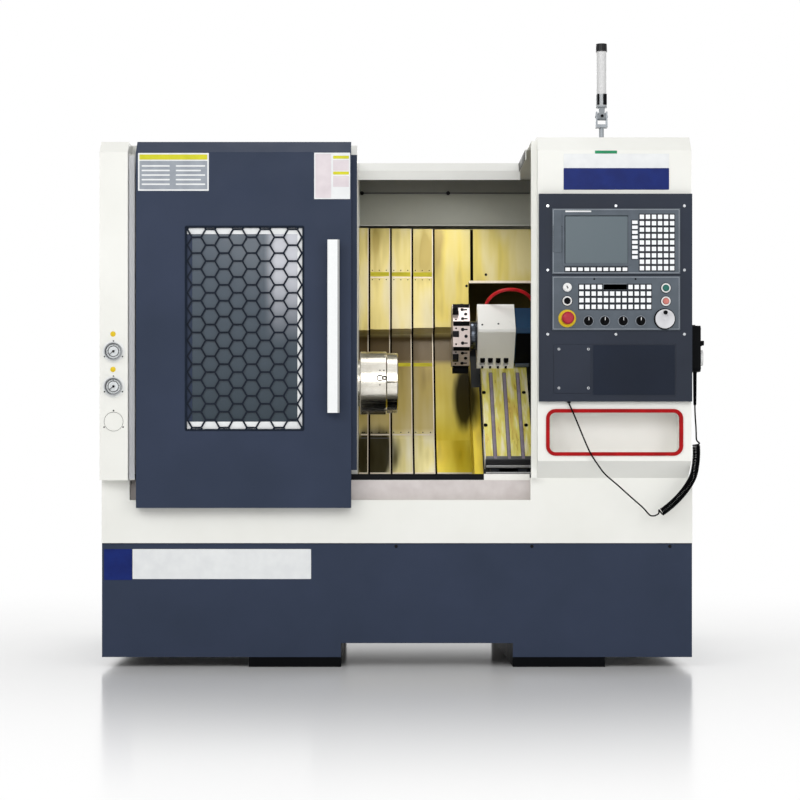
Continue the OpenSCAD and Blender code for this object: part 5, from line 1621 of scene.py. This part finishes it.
            # Foot and fold strips in pale steel: painted highlights.
            strips = [("foot", 3, start + 2.0, 640.0, 635.0, BRIGHT_EDGE),
                      ("fold", 2, left, 779.0, 774.0, BRIGHT_EDGE),
                      ("fold_line", 3, left, 766.0, 762.5, BLACK_RUBBER)]
            heads = [("rivets", 2.4, [(2, x, 785.0) for x in (start + 12.0, middle - 2.0, end - 14.0)])]
            if k > 0:
                strips += [("wiper", 0, left, 1384.0, 1369.0, WIPER_AND_GLINT_YELLOW),
                           ("lap", 0, left, 1366.0, 1362.0, BRIGHT_EDGE)]
                heads.append(("studs", 2.2, [(0, x, z) for z in (1391.0, 1356.0)
                                             for x in (start + 14.0, middle, end - 14.0)]))
            if k > 1:
                # Glint strip: a painted reflection on the oily cover.
                strips.append(("glint", 2, max(left, self.glint_x), 1044.0, 1031.0, WIPER_AND_GLINT_YELLOW))
            for kind, leaf, x0, high, low, finish in strips:
                self.strip(f"cover_{kind}_{k + 1}", leaf, (x0, right), high, low, back, finish, body)
            for kind, radius, spots in heads:
                places = [self.off_leaf(leaf, x, z, back) for leaf, x, z in spots]
                row = spread(f"cover_{kind}_{k + 1}", round_head(radius, self.relief, 12), places)
                fit(row, BLACK_STEEL, body)
            start = end

    def saddle_front(self) -> None:
        """Seal, lower lip and foot line in painted highlight, screws and end step of the saddle cover."""
        back = 4.0 * self.cover_step
        body = "saddle_body"
        self.strip("saddle_cover_seal", 0, (1257.0, 1268.0), 1546.0, 1354.0, back - 2.4, LIP_BROWN, body)
        # Lip and foot strips: painted highlights on the sheet's edges.
        self.strip("saddle_cover_lip", 0, (1252.0, 1498.0), 1353.0, 1344.0, back, BRIGHT_EDGE, body)
        self.strip("saddle_cover_foot", 3, (1121.0, 1249.0), 640.0, 635.0, back, BRIGHT_EDGE, body)
        places = [at(x, self.on_leaf(0, z, back)[0], z, Facing.FRONT)
                  for x, z in ((1315.4, 1375.7), (1243.0, 1333.0))]
        fit(spread("saddle_cover_screws", socket_screw(5.0, 3.0), places), BLACK_STEEL, body)
        step = block("saddle_end_step", (1284.0, -303.5, -147.0), (1442.0, -300.0, -138.0), 0.5, True)
        fit(step, WHITE, body)

    def disc(self) -> None:
        """Wedges, dots, clamp screws and clamp bars on every flat of the disc, hub cap and tool holder."""
        y, z = self.disc_mid
        middle = Matrix.Translation(bench(self.disc_x, y, z))
        flats = [middle @ spin("X", 45.0 * k) for k in range(8)]
        wedge = origin_block("wedge", (-29.0, -8.0, -1.0), (29.0, 8.0, 2.6), 0.8)
        bar = origin_block("bar", (-6.5, -2.2, -1.0), (6.5, 2.2, 1.8), 0.5)
        holder = origin_block("holder", (2.0, -24.0, -1.0), (59.0, 24.0, 25.0), 1.5)
        screw = socket_screw(6.0, 3.0, 18)
        for name, part, spots, finish in (
                ("wedges", wedge, ((30.0, 36.5),), BLACK),
                ("bars", bar, ((45.0, 16.0), (45.0, -32.0)), BLACK),
                ("dots", round_head(3.4, 1.4), ((11.0, 20.0), (11.0, -36.0)), BLACK),
                ("screws", screw, ((34.0, 16.0), (34.0, -32.0), (46.0, -8.0)), BLACK_STEEL)):
            fit(spread(f"turret_disc_{name}", part, self.copies(flats, spots)), finish, "turret")
        fit(spread("turret_tool_holder", holder, self.copies(flats[4:5], ((0.0, 0.0),))), BLACK, "turret")
        cap = turned("turret_hub_cap", bench(self.disc_x + 8.0, y, z), Facing.RIGHT, self.hub_cap, 40)
        fit(cap, BLACK_STEEL, "turret")

    def copies(self, flats: Sequence[Matrix], spots: Sequence[Pair]) -> list[Matrix]:
        """Frames of the same places, along X and round the disc, on some of its flats."""
        moves = [Matrix.Translation(Vector((x, t, self.disc_flat)) * MM) for x, t in spots]
        return [flat @ move for flat in flats for move in moves]

    def turret(self) -> None:
        """Hub sleeve, front panel, foot bolts, top screws, motor plates (the front one painted shade) and
        hose ends.
        """
        middle = bench(self.sleeve_x, *self.disc_mid)
        fit(turned("turret_hub_sleeve", middle, Facing.RIGHT, self.sleeve, 64, True), HUB_STEEL, "cross")
        middle = bench(*on_slope(1336.0, 175.0, 24.0))
        fit(plate("turret_front_panel", middle, Facing.DOWN_SLOPE, 112.0, 118.0, 0.8), TURRET_WHITE, "cross")
        places = [at(*on_slope(x, 190.9, -55.0), Facing.DOWN_SLOPE) for x in self.bolt_x]
        fit(spread("turret_foot_bolts", socket_screw(8.8, 19.0), places), BLACK, "cross")
        stems = [block("stem", (x - 4.0, 173.6, -90.0), (x + 4.0, 175.2, -78.6), 0.3, True)
                 for x in self.bolt_x]
        fit(gather("turret_foot_stems", stems), BLACK, "cross")
        places = [at(*on_slope(x, u, 90.5), Facing.OFF_SLOPE) for x, u in ((1281.0, 205.0), (1338.0, 210.0))]
        fit(spread("turret_top_screws", socket_screw(3.4, 1.8, 16), places), BLACK_STEEL, "cross")
        fit_blocks((
            # Black plate on the motor's front: painted shade of that face.
            ("motor_front_shade_plate", (1402.0, 180.5, -70.0), (1526.0, 183.0, 70.0), 0.8, BLACK_ENAMEL),
            ("motor_foot_bar", (1403.0, 176.0, -86.0), (1452.0, 183.0, -72.0), 1.0, UNIT_GREY)),
            "cross", True)
        places = [at(*on_slope(x, 332.0, 60.0), Facing.OFF_SLOPE) for x in self.ferrule_x]
        fit(spread("hose_ferrules", origin_turned("ferrule", self.ferrule, 24), places), CHROME, "cross")

    def table(self) -> None:
        """Screws, slot fillers and gaps in painted shade, end wiper and edge guard of the cross slide."""
        off = self.table_off
        places = [at(*on_slope(x, up, off), Facing.OFF_SLOPE)
                  for x in (1287.5, 1428.5) for up in (48.0, -118.0)]
        fit(spread("table_screws", socket_screw(6.8, 3.0), places), BLACK, "cross")
        # Black gaps and grey fillers in the slots: painted shade of the slots.
        gaps = [block("gap", (x - 6.9, -283.0, off - 6.0), (x + 6.9, 150.0, off + 0.3), 0.2, True)
                for x in self.slot_x]
        fit(gather("table_slot_gaps", gaps), BLACK_RUBBER, "cross")
        fillers = [block("filler", (x - 4.4, -284.0, off - 4.0), (x + 5.6, 150.0, off + 1.9), 0.6, True)
                   for x in self.slot_x]
        fit(gather("table_slot_fillers", fillers), SLOT_GREY, "cross")
        fit_blocks((
            ("table_end_wiper", (1283.0, -288.0, -134.0), (1443.0, -271.0, off + 1.3), 0.8, BLACK_RUBBER),
            ("table_end_line", (1284.0, -290.0, -128.0), (1442.0, -287.5, -118.0), 0.4, WHITE),
            ("table_edge_guard", (1279.2, -289.0, -136.0), (1282.0, -140.0, -88.0), 0.5, WHITE)),
            "cross", True)


@dataclass
class Studio:
    """Pale floor, white surround, soft lamps and the camera at the photograph's place."""

    camera_place: Point = (-0.0849, -7.576, 0.681)
    lens: float = 95.31
    sensor_mm: float = 36.0
    shift: Pair = (0.03, 0.07625)
    lamps: list[tuple[str, Point, float, float]] = field(default_factory=lambda: [
        ("key_lamp", (-3.2, -5.0, 3.6), 3.0, 72.0),
        ("fill_lamp", (3.6, -5.2, 2.0), 3.0, 48.0),
        ("front_lamp", (0.0, -6.0, 3.0), 3.0, 78.0),
        ("top_lamp", (0.2, 0.6, 5.2), 3.0, 36.0),
        ("rear_lamp", (0.5, 5.2, 3.2), 3.0, 80.0),
    ])
    target: Point = (0.0, 0.0, 0.9)
    work_lamp: tuple[Point, Point, float, float] = (
        (1190.0, 565.0, 1690.0), (1160.0, 565.0, 900.0), 0.2, 1.15)
    sky: float = 0.5
    floor_r: float = 14.0
    fade: Pair = (1.3, 4.0)

    def build(self) -> None:
        """Sets up floor, world, lamps and camera."""
        scene = bpy.context.scene
        scene.view_settings.view_transform = "Standard"
        self.world(scene)
        self.floor()
        for name, place, size, power in self.lamps:
            self.lamp(name, Vector(place), Vector(self.target), size, power)
        place, target, size, power = self.work_lamp
        self.lamp("work_lamp", bench(*place), bench(*target), size, power).visible_camera = False
        data = bpy.data.cameras.new("camera")
        data.lens = self.lens
        data.sensor_width = self.sensor_mm
        data.shift_x, data.shift_y = self.shift
        camera = bpy.data.objects.new("camera", data)
        camera.location = self.camera_place
        camera.rotation_euler = (math.radians(90.0), 0.0, 0.0)
        scene.collection.objects.link(camera)
        scene.camera = camera

    def lamp(self, name: str, place: Vector, target: Vector, size: float, power: float) -> Piece:
        """Soft round lamp at a place, turned to a target, both in metres.

        Args:
            name: name of the lamp.
            place: middle of the lamp.
            target: point that it looks at.
            size: diameter in metres.
            power: power in watts.

        Returns:
            The lamp.
        """
        data = bpy.data.lights.new(name, "AREA")
        data.shape = "DISK"
        data.size = size
        data.energy = power
        lamp = bpy.data.objects.new(name, data)
        lamp.location = place
        lamp.rotation_euler = (target - place).to_track_quat("-Z", "Y").to_euler()
        bpy.context.scene.collection.objects.link(lamp)
        return lamp

    def seen(self, tree: Tree) -> Socket:
        """Tells the rays that come straight from the camera, a mirror or a pane.

        Args:
            tree: node tree that asks.

        Returns:
            1 for such a ray, 0 for any other.
        """
        path = add_node(tree, "LightPath")
        first = add_node(tree, "Math",
                         {0: path.outputs["Is Camera Ray"], 1: path.outputs["Is Glossy Ray"]},
                         operation="MAXIMUM").outputs[0]
        return add_node(tree, "Math",
                        {0: first, 1: path.outputs["Is Transmission Ray"]}, operation="MAXIMUM").outputs[0]

    def world(self, scene: bpy.types.Scene) -> None:
        """White surround for what is seen, a softer one for the light on the object.

        Args:
            scene: scene that gets the surround.
        """
        world = bpy.data.worlds.new("surround")
        world.use_nodes = True
        tree = world.node_tree
        tree.nodes.clear()
        lit, shown = (add_node(tree, "Background", {"Color": linear("#FFFFFF"), "Strength": strength})
                      for strength in (self.sky, 1.0))
        mix = add_node(tree, "MixShader", {0: self.seen(tree), 1: lit.outputs[0], 2: shown.outputs[0]})
        add_node(tree, "OutputWorld", {"Surface": mix.outputs[0]})
        scene.world = world

    def floor(self) -> None:
        """Polished white floor that fades into the surround."""
        bpy.ops.mesh.primitive_circle_add(vertices=96, radius=self.floor_r, fill_type="NGON")
        floor = settle(bpy.context.object, "studio_floor")
        made = bpy.data.materials.new("polished_white_floor")
        made.use_nodes = True
        tree = made.node_tree
        tree.nodes.clear()
        place = add_node(tree, "TexCoord").outputs["Object"]
        away = add_node(tree, "VectorMath", {0: place}, operation="LENGTH").outputs["Value"]
        fade = add_node(tree, "MapRange",
                        {"Value": away, "From Min": self.fade[0], "From Max": self.fade[1]},
                        interpolation_type="SMOOTHSTEP").outputs[0]
        factor = add_node(tree, "Math", {0: fade, 1: self.seen(tree)}, operation="MULTIPLY").outputs[0]
        shader = add_node(tree, "BsdfPrincipled",
                          {"Base Color": linear("#FAFAFA"), "Roughness": 0.16, "IOR": 1.4})
        glow = add_node(tree, "Emission", {"Color": linear("#FFFFFF"), "Strength": 1.0})
        mix = add_node(tree, "MixShader", {0: factor, 1: shader.outputs[0], 2: glow.outputs[0]})
        add_node(tree, "OutputMaterial", {"Surface": mix.outputs[0]})
        floor.data.materials.append(made)


def dress_nodes() -> None:
    """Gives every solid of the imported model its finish."""
    for node, finish in NODE_FINISH.items():
        solid = bpy.data.objects[node]
        for place in solid.material_slots:
            place.material = finish.material()
        LOG.info("%s: %s", node, finish.name)


def main() -> None:
    """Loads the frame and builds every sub-assembly."""
    logging.basicConfig(level=logging.INFO, format="%(name)s %(message)s")
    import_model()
    dress_nodes()
    Studio().build()
    for assembly in (Pendant(), Skirt(), LeftColumn(), Door(), Hood(), OuterWalls(), Cabinet(), ControlDesk(),
                     SignalTower(), WorkArea()):
        assembly.build()


if __name__ == "__main__":
    main()
